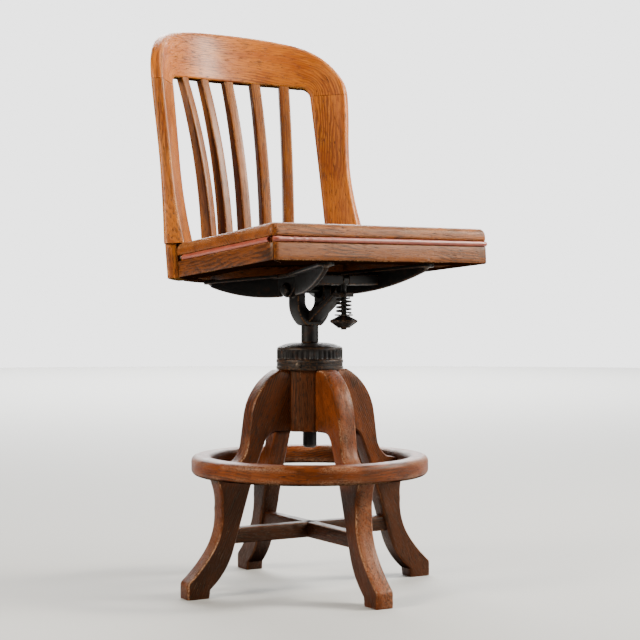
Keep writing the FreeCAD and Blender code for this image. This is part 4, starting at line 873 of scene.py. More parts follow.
@dataclass(frozen=True)
class MetalFinish:
    """Old iron or steel: dark skin, brown where rubbed or rusted, uneven from casting.

    Attributes:
        name: Material name.
        skin: Colour of the skin.
        rubbed: Colour of worn arrises.
        rust: Colour of the rust film.
        metal: Metallic share of the skin.
        rough: Roughness of the skin.
        pitting: Depth of the casting texture in millimetres.
        rusted: Share of the surface with rust.
    """

    name: str
    skin: str
    rubbed: str
    rust: str
    metal: float
    rough: float
    pitting: float
    rusted: float

    def material(self) -> bpy.types.Material:
        """Builds the material: casting pits, rust film in patches, rubbed arrises."""
        made, g = new_material(self.name)
        spot = grain_of(g)
        pits = streaks(g, spot, 1.82, 1.82, 4.0, 0.6)
        patches = streaks(g, spot, 14.3, 14.3, 4.0, 0.65)
        rust = g.add(Kind.STEP, patches, 0.66 - 0.25 * self.rusted, 0.82 - 0.2 * self.rusted)
        rust = g.add(Kind.TIMES, rust, 0.8)
        touched = g.add(Kind.STEP, streaks(g, spot, 3.33, 3.33, 3.0, 0.6), 0.42, 0.62)
        rubbed = g.add(Kind.TIMES, g.add(Kind.WEAR), touched)
        hollow = g.add(Kind.TINT, 1.0, srgb(self.skin), (0.55, 0.55, 0.55, 1.0))
        colour = g.add(Kind.BLEND, g.add(Kind.STEP, pits, 0.3, 0.75), hollow, srgb(self.skin))
        colour = g.add(Kind.BLEND, rust, colour, srgb(self.rust))
        colour = g.add(Kind.BLEND, rubbed, colour, srgb(self.rubbed))
        rough = g.add(Kind.PLUS, self.rough, g.add(Kind.TIMES, rust, 0.25))
        rough = g.add(Kind.CAPPED_LESS, rough, g.add(Kind.TIMES, rubbed, 0.12))
        metal = g.add(Kind.CAPPED_LESS, self.metal, g.add(Kind.TIMES, rust, self.metal * 0.7))
        g.set(Base_Color=colour, Roughness=rough, Metallic=metal, Specular_IOR_Level=0.15 + 0.35 * self.metal,
              Normal=g.add(Kind.BUMP, pits, 0.5, self.pitting * METRE))
        return made


@dataclass(frozen=True)
class RubberFinish:
    """Aged red-brown bumper tube, shiny on its crown and dark where it is cracked.

    Attributes:
        name: Material name.
        body: Colour of the tube.
        crown: Colour where it is bleached.
        crack: Colour of the cracks across it.
    """

    name: str
    body: str
    crown: str
    crack: str

    def material(self) -> bpy.types.Material:
        """Builds the material: blotches along the tube, dark cracks across it, a faint polish."""
        made, g = new_material(self.name)
        spot = grain_of(g)
        blotch = streaks(g, spot, 25.0, 5.0, 4.0, 0.65)
        cracks = g.add(Kind.STEP, streaks(g, spot, 2.0, 8.33, 3.0, 0.6), 0.62, 0.70)
        colour = g.add(Kind.BLEND, g.add(Kind.STEP, blotch, 0.35, 0.7), srgb(self.body), srgb(self.crown))
        colour = g.add(Kind.BLEND, g.add(Kind.TIMES, cracks, 0.8), colour, srgb(self.crack))
        g.set(Base_Color=colour, Roughness=g.add(Kind.PLUS, 0.26, g.add(Kind.TIMES, blotch, 0.3)),
              Coat_Weight=0.15, Coat_Roughness=0.25,
              Normal=g.add(Kind.BUMP, g.add(Kind.LESS, blotch, cracks), 0.4, 0.0006))
        return made


FINISHES = {
    # Oak with amber varnish, polished by hands and backs: warm, clear in grain, with a soft sheen.
    Slot.BACK_OAK: OakFinish(
        "back oak", light="#A4590F", dark="#5E2B04", amber="#7E3905", pore="#1E0A02", scuff="#D9A35C",
        grime_and_shadow="#361504", pith=(18.0, 60.0), gloss=0.2, stain=0.4, ring=4.0, worn=0.4),
    # The same oak where people sit: browner, stained in patches and less glossy.
    Slot.SEAT_OAK: OakFinish(
        "seat oak", light="#6A360D", dark="#341703", amber="#4E2403", pore="#120602", scuff="#B98A5C",
        grime_and_shadow="#1E0C04", pith=(10.0, 70.0), gloss=0.12, stain=0.55, ring=4.0, worn=0.5),
    # Oak of the base, dark with age: dull, with pale bare wood on arrises that shoes have knocked.
    Slot.BASE_OAK: OakFinish(
        "base oak", light="#622B08", dark="#2A1001", amber="#431A02", pore="#0C0401", scuff="#A88062",
        grime_and_shadow="#120602", pith=(14.0, 50.0), gloss=0.1, stain=0.5, ring=3.6, worn=0.9),
    # Turned dowels left raw inside their holes: pale and matt.
    Slot.DOWEL: OakFinish(
        "dowel wood", light="#B98A55", dark="#9A6E3E", amber="#A87A45", pore="#5A3A1E", scuff="#D3AC78",
        grime_and_shadow="#6B4526", pith=(5.0, 20.0), gloss=0.0, stain=0.1, ring=4.0, worn=0.2),
    # Sand-cast iron under black paint: near black and uneven, with brown rust and rubbed arrises.
    Slot.IRON: MetalFinish("black iron", "#0B0807", "#52371F", "#2A160A", 0.1, 0.48, 0.25, 0.5),
    # Turned mild steel, oiled for years: dark grey with a dull gleam.
    Slot.STEEL: MetalFinish("dark steel", "#1E1C1B", "#5A4A3E", "#2E1E14", 0.6, 0.4, 0.08, 0.3),
    # Plain steel screws, tarnished brown.
    Slot.SCREW: MetalFinish("screw steel", "#3A332D", "#7D6B5A", "#42291A", 0.8, 0.42, 0.08, 0.4),
    # Perished rubber tube: red-brown, smooth on its crown, cracked across.
    Slot.BEAD: RubberFinish("bead rubber", "#6E2A1A", "#8A4028", "#240D09"),
}

# How much lighter or darker each piece is drawn: partly each board's own tone, largely painted shade on
# pieces that stand in shade, such as the column, the legs and the slats, and a painted sheen that lightens
# the seat's slab.
TONES_AND_PAINTED_LIGHT = {
    "seat_slab": 0.3, "front_rail": 0.1, "left_rail": -0.25, "left_post": -0.2, "centre_column": -0.5,
    "leg_left": -0.3, "leg_right": -0.15, "leg_back": -0.3, "stretcher_side": -0.45,
    "stretcher_fore_aft": -0.45, "slat_left_outer": -0.5, "slat_left_inner": -0.5, "slat_centre": -0.45,
    "slat_right_inner": -0.4, "slat_right_outer": -0.45,
}


class Workshop:
    """Makes the pieces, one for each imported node, and hands them to the frame."""

    def __init__(self) -> None:
        """Mixes the finishes."""
        self.materials = {slot: finish.material() for slot, finish in FINISHES.items()}

    def piece(self, node: str, skin: Skin, body: Body, slot: Slot) -> bpy.types.Object:
        """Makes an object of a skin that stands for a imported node.

        Args:
            node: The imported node's name.
            skin: Its refined surface.
            body: The body it rides on.
            slot: Its material slot.
        Returns:
            The object.
        """
        mesh = skin.mesh(node + "_look")
        # The tone attribute carries each piece's own tone together with its painted shade and painted sheen.
        tone = mesh.attributes.new("tone", "FLOAT", "POINT")
        tone.data.foreach_set("value", np.full(len(mesh.vertices), TONES_AND_PAINTED_LIGHT.get(node, 0.0), np.float32))
        mesh.materials.append(self.materials[slot])
        made = bpy.data.objects.new(node + "_look", mesh)
        bpy.context.scene.collection.objects.link(made)
        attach(made, body.value)
        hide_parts(node)
        log.info("%s: %d vertices", node, len(mesh.vertices))
        return made

    def keep(self, slot: Slot, *nodes: str) -> None:
        """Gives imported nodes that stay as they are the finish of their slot."""
        for node in nodes:
            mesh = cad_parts[node].data
            spots = np.empty(len(mesh.vertices) * 3, np.float32)
            mesh.vertices.foreach_get("co", spots)
            grain = mesh.attributes.new("grain", "FLOAT_VECTOR", "POINT")
            grain.data.foreach_set("vector", spots)
            mesh.materials.clear()
            mesh.materials.append(self.materials[slot])
            log.info("%s: kept", node)


# Base

LEGS = {"leg_front": -90.0, "leg_right": 0.0, "leg_back": 90.0, "leg_left": 180.0}
STRETCHERS = {"stretcher_side": 0.0, "stretcher_fore_aft": 90.0}


@dataclass(frozen=True)
class Base:
    """The wooden base: legs, foot ring, column, stretchers and the iron hub.

    Attributes:
        shop: Makes the pieces.
        leg_thickness: Through a leg's board.
        leg_top: Height of the leg tops, where the hub lies.
        ring_radius: Outer radius of the foot ring.
        ring_width: Of its section, inwards.
        ring_low: Height of its underside.
        ring_height: Of its section.
        ring_round: Rounding of its section.
        stretcher_low: Height of the stretchers' underside.
        stretcher_height: Of their section.
        stretcher_thickness: Of their section.
        stretcher_reach: From the axis to their ends.
        column_apothem: From the axis to each flat of the octagon.
        column_low: Height of the column's underside.
        column_chamfer: Width taken off each upright arris of the column.
        bore_radius: Of the hole under the column.
        bore_depth: Of that hole.
        hub_radius: Of the flange.
        lock_height: Of the lock screw in the flange's rim.
        lock_angle: Of the lock screw about the axis, in degrees.
    """

    shop: Workshop
    leg_thickness: float = 34.0
    leg_top: float = 390.0
    ring_radius: float = 212.0
    ring_width: float = 36.0
    ring_low: float = 203.0
    ring_height: float = 34.0
    ring_round: float = 10.0
    stretcher_low: float = 90.0
    stretcher_height: float = 27.0
    stretcher_thickness: float = 21.0
    stretcher_reach: float = 166.0
    column_apothem: float = 49.0
    column_low: float = 281.0
    column_chamfer: float = 1.2
    bore_radius: float = 22.3
    bore_depth: float = 21.0
    hub_radius: float = 60.0
    lock_height: float = 399.0
    lock_angle: float = 220.0

    def build(self) -> None:
        """Makes every piece of the base."""
        inner, outer = self.leg_edges()
        board = Board(inner, outer, self.leg_thickness, 3.2, (0.42, -0.9), across=9, flutter=0.7,
                      inner_wear=0.1, edge_wear=0.2)
        for number, (name, angle) in enumerate(LEGS.items()):
            skin = Skin()
            board.put(skin, laid(base_place(angle), "adb", -self.leg_thickness / 2),
                      (number * 1.7, number * 0.9, number * 0.4))
            self.shop.piece(name, skin, Body.BASE, Slot.BASE_OAK)
        self.ring()
        self.column()
        for name, angle in STRETCHERS.items():
            self.stretcher(name, angle)
        self.hub()
        self.lock_screw()
        self.shop.keep(Slot.DOWEL, "ring_dowels", "leg_dowels")
        self.shop.keep(Slot.SCREW, "hub_screws")

    @staticmethod
    def leg_edges() -> tuple[Array, Array]:
        """A leg's two sawn edges, from the column down to the foot, as distance from the axis and height."""
        outer = path([
            (49, 390), (69, 390, -0.125), (127, 312), (134, 262, 0.11), (155, 229), (174.9, 225),
            (174.9, 203), (194, 203, 0.07), (185, 150, 0.09), (206, 75, 0.03), (245, 32, -0.15), (250, 21),
            (250, 0)], step=1.0)
        inner = path([
            (49, 281), (74, 281, -0.148), (100, 264), (122, 208), (160, 85, 0.08), (206, 15),
            (208, 0)], step=1.0)
        return paired(inner, outer, [
            ((49, 281), (49, 390)), ((74, 281), (69, 390)), ((100, 264), (127, 312)),
            ((113, 231), (134, 262)), ((120, 213), (155, 229)), ((122.6, 206), (174.9, 225)),
            ((123.9, 202), (174.9, 203)),
            ((124.5, 200), (194, 203)), ((141, 146.5), (185, 150)), ((161, 83), (206, 75)),
            ((197, 22), (245, 32)), ((206, 15), (250, 21)), ((208, 0), (250, 0))])

    def ring(self) -> None:
        """The bent ring: a rounded section turned about the axis, its grain running round."""
        skin = Skin()
        low = (self.ring_radius - self.ring_width, self.ring_low)
        high = (self.ring_radius, self.ring_low + self.ring_height)
        lathe(skin, rounded_section(low, high, self.ring_round), base_place(), 192, along_z=False)
        self.shop.piece("foot_ring", skin, Body.BASE, Slot.BASE_OAK)

    def column(self) -> None:
        """The octagonal block, grain upright: its plan at each level, drawn in at the foot, and a bore."""
        skin = Skin()
        half_side = self.column_apothem * (math.sqrt(2) - 1) - self.column_chamfer
        angle = np.radians(np.repeat(np.arange(8) * 45.0, 2))
        along = np.tile([-half_side, half_side], 8)
        outline = np.stack([self.column_apothem * np.cos(angle) - along * np.sin(angle),
                            self.column_apothem * np.sin(angle) + along * np.cos(angle)], axis=1)
        low = self.column_low
        levels = [(1.5, low), (0.4, low + 0.5), (0.0, low + 1.6)]
        levels += [(0.0, z) for z in np.linspace(low + 12, self.leg_top - 12, 8)] + [(0.0, self.leg_top)]
        points = np.stack([at_height(inset(outline, drawn), z) for drawn, z in levels])
        wear = np.array([1.0 if drawn else 0.0 for drawn, _ in levels])[:, None] * np.ones((1, len(outline)))
        index = skin.grid(base_place()(points), points[..., [2, 0, 1]], wear)
        skin.cap(index[-1])
        turn = np.radians(np.arange(16) * 22.5)
        mouth = self.bore_radius * np.stack([np.cos(turn), np.sin(turn)], axis=1)
        bore = np.stack([at_height(mouth, low + self.bore_depth), at_height(mouth, low)])
        foot = skin.grid(base_place()(bore), bore)
        skin.join(index[0], foot[1])
        skin.cap(foot[0])
        self.shop.piece("centre_column", skin, Body.BASE, Slot.BASE_OAK)

    def stretcher(self, name: str, angle: float) -> None:
        """A plain bar from leg to leg."""
        skin = Skin()
        half = self.stretcher_thickness / 2
        inner, outer = strip(np.linspace(-self.stretcher_reach, self.stretcher_reach, 40), -half, half)
        board = Board(inner, outer, self.stretcher_height, 2.0, across=5, flutter=0.4)
        board.put(skin, laid(base_place(angle), "abd", self.stretcher_low), (angle / 30, 2.0, 1.0))
        self.shop.piece(name, skin, Body.BASE, Slot.BASE_OAK)

    def hub(self) -> None:
        """The iron flange with its sleeve: a turned profile with a groove round the rim."""
        skin = Skin()
        rim, low = self.hub_radius, self.leg_top
        profile = path([
            (12.55, 302), (22, 302), (22, low), (rim - 1.4, low, 0.2), (rim, low + 1.4), (rim, low + 5),
            (rim - 0.8, low + 6), (rim - 0.8, low + 12), (rim, low + 13), (rim, low + 16.4, 0.2),
            (rim - 1.4, low + 18), (30.3, low + 18), (30.3, low + 15), (12.55, low + 15),
            (12.55, 302)], step=2.5)
        lathe(skin, profile, base_place(), 96)
        self.shop.piece("hub_flange", skin, Body.BASE, Slot.IRON)

    def lock_screw(self) -> None:
        """The screw in the flange's rim, turned about its own axis."""
        skin = Skin()
        head = path([(0.4, 3.2), (2.8, 3.0, 0.15), (4.5, 1.6), (4.5, 0), (3.0, 0), (3.0, -12), (0.4, -12)],
                    step=0.8)
        lathe(skin, head, along_x(base_place(self.lock_angle), (0.0, self.lock_height), self.hub_radius), 24)
        self.shop.piece("hub_lock_screw", skin, Body.BASE, Slot.SCREW)


# Swivel, height and tilt ironwork

@dataclass(frozen=True)
class Ironwork:
    """The hand wheel, spindle, yoke, tension rod, spring and the spider under the seat.

    Attributes:
        shop: Makes the pieces.
        wheel_low: Height of the wheel's underside.
        wheel_top: Height of its crown.
        wheel_radius: Of its skirt.
        flutes: How many hollows are round the skirt.
        flute_depth: Of each hollow.
        spindle_radius: Over the thread.
        spindle_low: Height of the lower end.
        spindle_top: Height of the upper end, inside the yoke.
        plain_end: Length without thread at the lower end.
        thread_lead: Rise of the thread for each turn.
        thread_depth: Of its groove.
        bore: Radius of a hole on the pivot pin.
        rod_pin: Place of the tension rod's pin behind and above the pivot, in the level seat.
        lug_low: Height of the underside of the yoke's lug.
        spring_low: Height of the spring's lower end.
        spring_radius: To the middle of the wire.
        spring_turns: How many turns it has.
        wire_radius: Of the spring's wire.
        knob_low: Height of the knob's underside.
        knob_top: Height of its top.
        cheek_starts: Where the spider's two cheeks start, to the right of the middle.
        arm_tips: Places of the arms' screws: to the side, and behind the pivot at the front and the rear.
        strap_low: Height of the underside of the arms' straps.
    """

    shop: Workshop
    wheel_low: float = 408.3
    wheel_top: float = 437.3
    wheel_radius: float = 59.0
    flutes: int = 40
    flute_depth: float = 2.1
    spindle_radius: float = 12.5
    spindle_low: float = 250.0
    spindle_top: float = 464.0
    plain_end: float = 42.0
    thread_lead: float = 8.0
    thread_depth: float = 1.6
    bore: float = 6.05
    rod_pin: tuple[float, float] = (-106.0, 9.0)
    lug_low: float = 519.0
    spring_low: float = 489.0
    spring_radius: float = 12.5
    spring_turns: int = 4
    wire_radius: float = 1.5
    knob_low: float = 465.2
    knob_top: float = 486.2
    cheek_starts: tuple[float, float] = (-50.0, 40.0)
    arm_tips: tuple[float, float, float] = (105.0, -204.0, 166.0)
    strap_low: float = 23.0

    @property
    def rod_y(self) -> float:
        """The rod's place behind the swivel axis, at the seat's rest tilt."""
        return self.rod_pin[0] * math.cos(SEAT_TILT) + self.rod_pin[1] * math.sin(SEAT_TILT)

    @property
    def rod_z(self) -> float:
        """Height of the rod's pin at the seat's rest tilt."""
        return PIVOT_HEIGHT + self.rod_pin[1] * math.cos(SEAT_TILT) - self.rod_pin[0] * math.sin(SEAT_TILT)

    def rod_place(self, points: Array) -> Array:
        """Places points drawn about the tension rod's axis."""
        return points + np.array([0.0, AXIS_Y + self.rod_y, 0.0])

    def build(self) -> None:
        """Makes every iron and steel piece above the hub."""
        self.wheel()
        self.spindle()
        self.yoke()
        self.tension()
        self.spring()
        self.spider()
        self.pivot()
        self.spider_screws()
        self.shop.keep(Slot.STEEL, "thrust_washer", "pivot_spacers", "rod_pin")

    def wheel(self) -> None:
        """The hand wheel: a turned skirt under a domed top, fluted by a cosine of the angle."""
        skin = Skin()
        low, top, skirt = self.wheel_low, self.wheel_top, self.wheel_radius
        skirt_top = 425.6
        profile = path([
            (12.6, low), (skirt - 0.8, low, 0.2), (skirt, low + 0.9), (skirt, 424.5),
            (skirt - 0.4, 427.6, 0.12), (55, 430.8, 0.06), (24, top), (12.6, top), (12.6, low)], step=1.3)

        def flute(angle: Array, height: Array) -> Array:
            """How far the skirt is hollowed: deepest between the ribs, running out at both edges."""
            outer = np.clip(profile[:, :1] - skirt + 1.1, 0, 1)
            level = np.clip((height - low - 1.0) / 2.0, 0, 1) * np.clip((skirt_top - height) / 3.0, 0, 1)
            hollow = np.abs(np.cos(angle * self.flutes / 2)) ** 1.6
            return -self.flute_depth * hollow * outer * np.sqrt(level)

        lathe(skin, profile, axis_place, self.flutes * 10, flute)
        self.shop.piece("hand_wheel", skin, Body.WHEEL, Slot.IRON)

    def spindle(self) -> None:
        """The threaded spindle: a square-cut helical groove above a plain, rounded lower end."""
        skin = Skin()
        radius, low, top, rounding = self.spindle_radius, self.spindle_low, self.spindle_top, 5.0
        heights = np.linspace(low + rounding, top, 420)
        end = path([(0.4, low), (radius - rounding, low, QUARTER), (radius, low + rounding)], step=1.2)
        shaft = np.stack([np.full(len(heights), radius), heights], axis=1)
        profile = np.concatenate([end[:-1], shaft, [[0.4, top]]])

        def thread(angle: Array, height: Array) -> Array:
            """How deep the groove is: a trapezium in the share of a turn above the helix."""
            turn = np.mod(height / self.thread_lead - angle / (2 * math.pi), 1.0)
            groove = np.clip((0.5 - np.abs(turn - 0.5)) * 8 - 1.6, 0, 1)
            return -self.thread_depth * groove * ((height > low + self.plain_end) & (height < top - 0.5))

        lathe(skin, profile, axis_place, 48, thread)
        self.shop.piece("screw_spindle", skin, Body.SPINDLE, Slot.STEEL)

    def yoke(self) -> None:
        """The cast fork on the spindle's head, with the lug for the tilt spring."""
        skin = Skin()
        stem = path([(12.6, 437.7), (14.6, 437.7, 0.2), (15.5, 438.6), (15.5, 476), (12.6, 476)], step=2.0)
        lathe(skin, stem, axis_place, 48)
        inner = path([(-19, 532), (-19, 512, QUARTER), (0, 493, QUARTER), (19, 512), (19, 532)], step=1.0)
        outer = path([(-36, 532), (-36, 508, 0.12), (-15.5, 468), (15.5, 468, 0.12), (36, 508), (36, 532)],
                     step=1.0)
        inner, outer = paired(inner, outer, [
            ((-19, 532), (-36, 532)), ((-19, 512), (-36, 508)), ((0, 493), (0, 468)), ((19, 512), (36, 508)),
            ((19, 532), (36, 532))], 3.0)
        Board(inner, outer, 32.0, 3.0, across=5, flutter=0.1).put(skin, laid(axis_place, "adb", -16.0))
        for sign in (-1.0, 1.0):
            place = along_x(axis_place, (0.0, PIVOT_HEIGHT), sign * 19.0, sign)
            lathe(skin, boss(self.bore, 16.0, 17.0), place, 48)
        self.lug(skin)
        self.shop.piece("tilt_yoke", skin, Body.SPINDLE, Slot.IRON)

    def lug(self, skin: Skin) -> None:
        """Adds the yoke's forward arm and the slotted plate that the rod passes through."""
        low = path([(-90, 519), (-16, 474)], step=4.0)
        top = path([(-90, 527), (-16, 492)], step=4.0)
        inner, outer = paired(low, top, [((-90, 519), (-90, 527)), ((-16, 474), (-16, 492))], 4.0)
        board = Board(inner, outer, 28.0, 2.5, across=4, end_round=0, flutter=0.1)
        board.put(skin, laid(axis_place, "dab", -14.0))
        outline = path([
            (-14, -88), (-14, -116, -QUARTER), (-8, -122), (8, -122, -QUARTER), (14, -116),
            (14, -88)], True, 2.0)
        front, rear = self.rod_y, self.rod_y + 5
        slot = resampled(path([(-6, rear), (-6, front, -0.5), (6, front), (6, rear, -0.5)], True, 1.0), 48)
        start = np.argmin(np.linalg.norm(slot - slot.mean(0) - np.array([-6.0, 6.0]), axis=1))
        plate_with_hole(skin, resampled(outline, 48), np.roll(slot, -start, axis=0), self.lug_low,
                        self.lug_low + 8, axis_place)

    def tension(self) -> None:
        """The rod with its eye, the spring's washer and the lobed knob, all turned."""
        rod = Skin()
        low, end = 462.2, self.rod_z - 6
        shaft = path([(0.3, low), (4.2, low, 0.2), (5, 463), (5, end), (0.3, end)], step=1.5)

        def thread(angle: Array, height: Array) -> Array:
            """A fine helical groove: half of each turn is cut."""
            cut = np.mod(height / 1.75 - angle / (2 * math.pi), 1.0) < 0.5
            return -0.35 * cut * (height > 463.5) * (height < 535)

        lathe(rod, shaft, self.rod_place, 32, thread)
        eye = path([
            (3.55, -6), (7.7, -6, 0.2), (8.5, -5.2), (8.5, 5.2, 0.2), (7.7, 6), (3.55, 6),
            (3.55, -6)], step=0.8)
        lathe(rod, eye, along_x(self.rod_place, (0.0, self.rod_z), 0.0), 40)
        self.shop.piece("tension_rod", rod, Body.ROD, Slot.STEEL)
        washer = Skin()
        section = path([
            (5.1, 486.5), (15.4, 486.5, 0.2), (16, 487.1), (16, 488.4, 0.2), (15.4, 489), (5.1, 489),
            (5.1, 486.5)], step=0.8)
        lathe(washer, section, self.rod_place, 48)
        self.shop.piece("spring_washer", washer, Body.ROD, Slot.STEEL)
        knob = Skin()
        low, top = self.knob_low, self.knob_top
        profile = path([
            (5.1, low), (9.5, low, 0.15), (11.5, low + 1.4), (22.6, 474.6, 0.2), (24, 476.2),
            (24, 477.6, 0.2), (22.6, 479.2), (11.5, top - 1.4, 0.15), (9.5, top), (5.1, top),
            (5.1, low)], step=0.9)

        def lobes(angle: Array, height: Array) -> Array:
            """Six hollows between the lobes, deeper towards the rim."""
            return -3.0 * np.clip((profile[:, :1] - 11) / 9, 0, 1) * np.abs(np.cos(3 * angle)) ** 3

        lathe(knob, profile, self.rod_place, 144, lobes)
        self.shop.piece("tension_knob", knob, Body.KNOB, Slot.IRON)

    def spring(self) -> None:
        """The open coil between the lug and the washer, a helix, squeezed as the seat tilts back."""
        skin = Skin()
        turn = np.linspace(0, self.spring_turns * 2 * math.pi, 260)
        height = np.linspace(self.lug_low - 1.8, self.spring_low + 1.8, 260)
        ring = self.spring_radius * np.stack([np.cos(turn), np.sin(turn)], axis=1)
        centres = np.hstack([ring, height[:, None]])
        index = tube(skin, centres, self.wire_radius, self.rod_place, 14)
        skin.cap(index[0])
        skin.cap(index[-1])
        made = self.shop.piece("tilt_spring", skin, Body.SPINDLE, Slot.STEEL)
        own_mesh(made)

    def spider(self) -> None:
        """The cast spider: plate, cheeks on the pivot, four webbed arms and the rod's cross bar."""
        skin = Skin()
        block(skin, (-54, -46, 21), (54, 46, 29), seat_place, 2.0)
        low = path([(-46, 22), (-18, -6, 0.21), (18, -6), (46, 22)], step=2.0)
        top = path([(-46, 24), (46, 24)], step=2.0)
        inner, outer = paired(low, top, [
            ((-46, 22), (-46, 24)), ((-18, -6), (-18, 24)), ((0, -19), (0, 24)), ((18, -6), (18, 24)),
            ((46, 22), (46, 24))], 4.0)
        cheek = Board(inner, outer, 10.0, 2.0, across=5, flutter=0.1, end_round=0)
        for start in self.cheek_starts:
            cheek.put(skin, laid(seat_place, "dab", start))
            lathe(skin, boss(self.bore, 14.0, 10.0), along_x(seat_place, (0.0, 0.0), start), 40)
        for tip_y in self.arm_tips[1:]:
            for side in (-1.0, 1.0):
                self.arm(skin, side, tip_y)
        for low_x, high_x in ((-72.0, -6.3), (6.3, 72.0)):
            block(skin, (low_x, -114, 0), (high_x, -98, 18), seat_place, 2.5)
        self.shop.piece("seat_spider", skin, Body.SEAT, Slot.IRON)

    def arm(self, skin: Skin, side: float, tip_y: float) -> None:
        """Adds one arm: a strap on the rail with a tapering web below it.

        Args:
            skin: Where to add it.
            side: -1 for the left, 1 for the right.
            tip_y: How far behind the pivot its screw is.
        """
        root = np.array([side * 44.0, math.copysign(24.0, tip_y)])
        tip = np.array([side * self.arm_tips[0], tip_y])
        reach = float(np.linalg.norm(tip - root))
        way = (tip - root) / reach
        cross = np.array([-way[1], way[0]])

        def lay(points: Array) -> Array:
            """Places points given along the arm, aside of it and above the pivot."""
            spot = root + points[..., :1] * way + points[..., 1:2] * cross
            return seat_place(np.concatenate([spot, points[..., 2:]], axis=-1))

        low = path([(0, -11, 0.05), (reach, 17)], step=2.0)
        top = path([(0, 25), (reach, 25)], step=2.0)
        inner, outer = paired(low, top, [((0, -11), (0, 25)), ((reach, 17), (reach, 25))], 5.0)
        Board(inner, outer, 9.0, 2.2, across=4, flutter=0.1).put(skin, laid(lay, "adb", -4.5))
        edge = path([(0, -14), (reach, -14, QUARTER), (reach + 14, -0.4)], step=3.0)
        strap = Board(edge, edge * np.array([1.0, -1.0]), 6.0, 1.5, across=4, flutter=0.1, end_round=0)
        strap.put(skin, laid(lay, "abd", self.strap_low))

    def pivot(self) -> None:
        """The pivot pin with its head, and the six-sided nut on its right end."""
        pin = Skin()
        profile = path([
            (0.3, -58.5), (7.5, -57.8, 0.1), (10, -55.5), (10, -50.4), (6, -50.4), (6, 64.8, 0.2), (5.2, 66),
            (0.3, 66)], step=1.5)
        along_pin = along_x(seat_place, (0.0, 0.0), 0.0)
        lathe(pin, profile, along_pin, 40)
        self.shop.piece("pivot_pin", pin, Body.SEAT, Slot.STEEL)
        nut = Skin()
        turn = np.radians(np.arange(6) * 60 + 30)
        outer = resampled(20 / math.sqrt(3) * np.stack([np.cos(turn), np.sin(turn)], axis=1), 48)
        hole = self.bore * outer / np.linalg.norm(outer, axis=1, keepdims=True)
        plate_with_hole(nut, outer, hole, 50.4, 58.3, along_pin, 0.8)
        self.shop.piece("pivot_nut", nut, Body.SEAT, Slot.STEEL)

    def spider_screws(self) -> None:
        """The screws through the arms' straps, their heads below."""
        skin = Skin()
        head = path([
            (0.3, -3.2), (3.2, -2.9, 0.12), (6, -0.2), (6, 0), (2.5, 0), (2.5, 24), (0.3, 24)], step=0.8)
        half, *rows = self.arm_tips
        for x in (-half, half):
            for y in rows:
                spot = np.array([x, y, self.strap_low])
                lathe(skin, head, lambda points, spot=spot: seat_place(points + spot), 24)
        self.shop.piece("spider_screws", skin, Body.SEAT, Slot.SCREW)


# Seat and back

SLATS = {"slat_left_outer": -2, "slat_left_inner": -1, "slat_centre": 0, "slat_right_inner": 1,
         "slat_right_outer": 2}


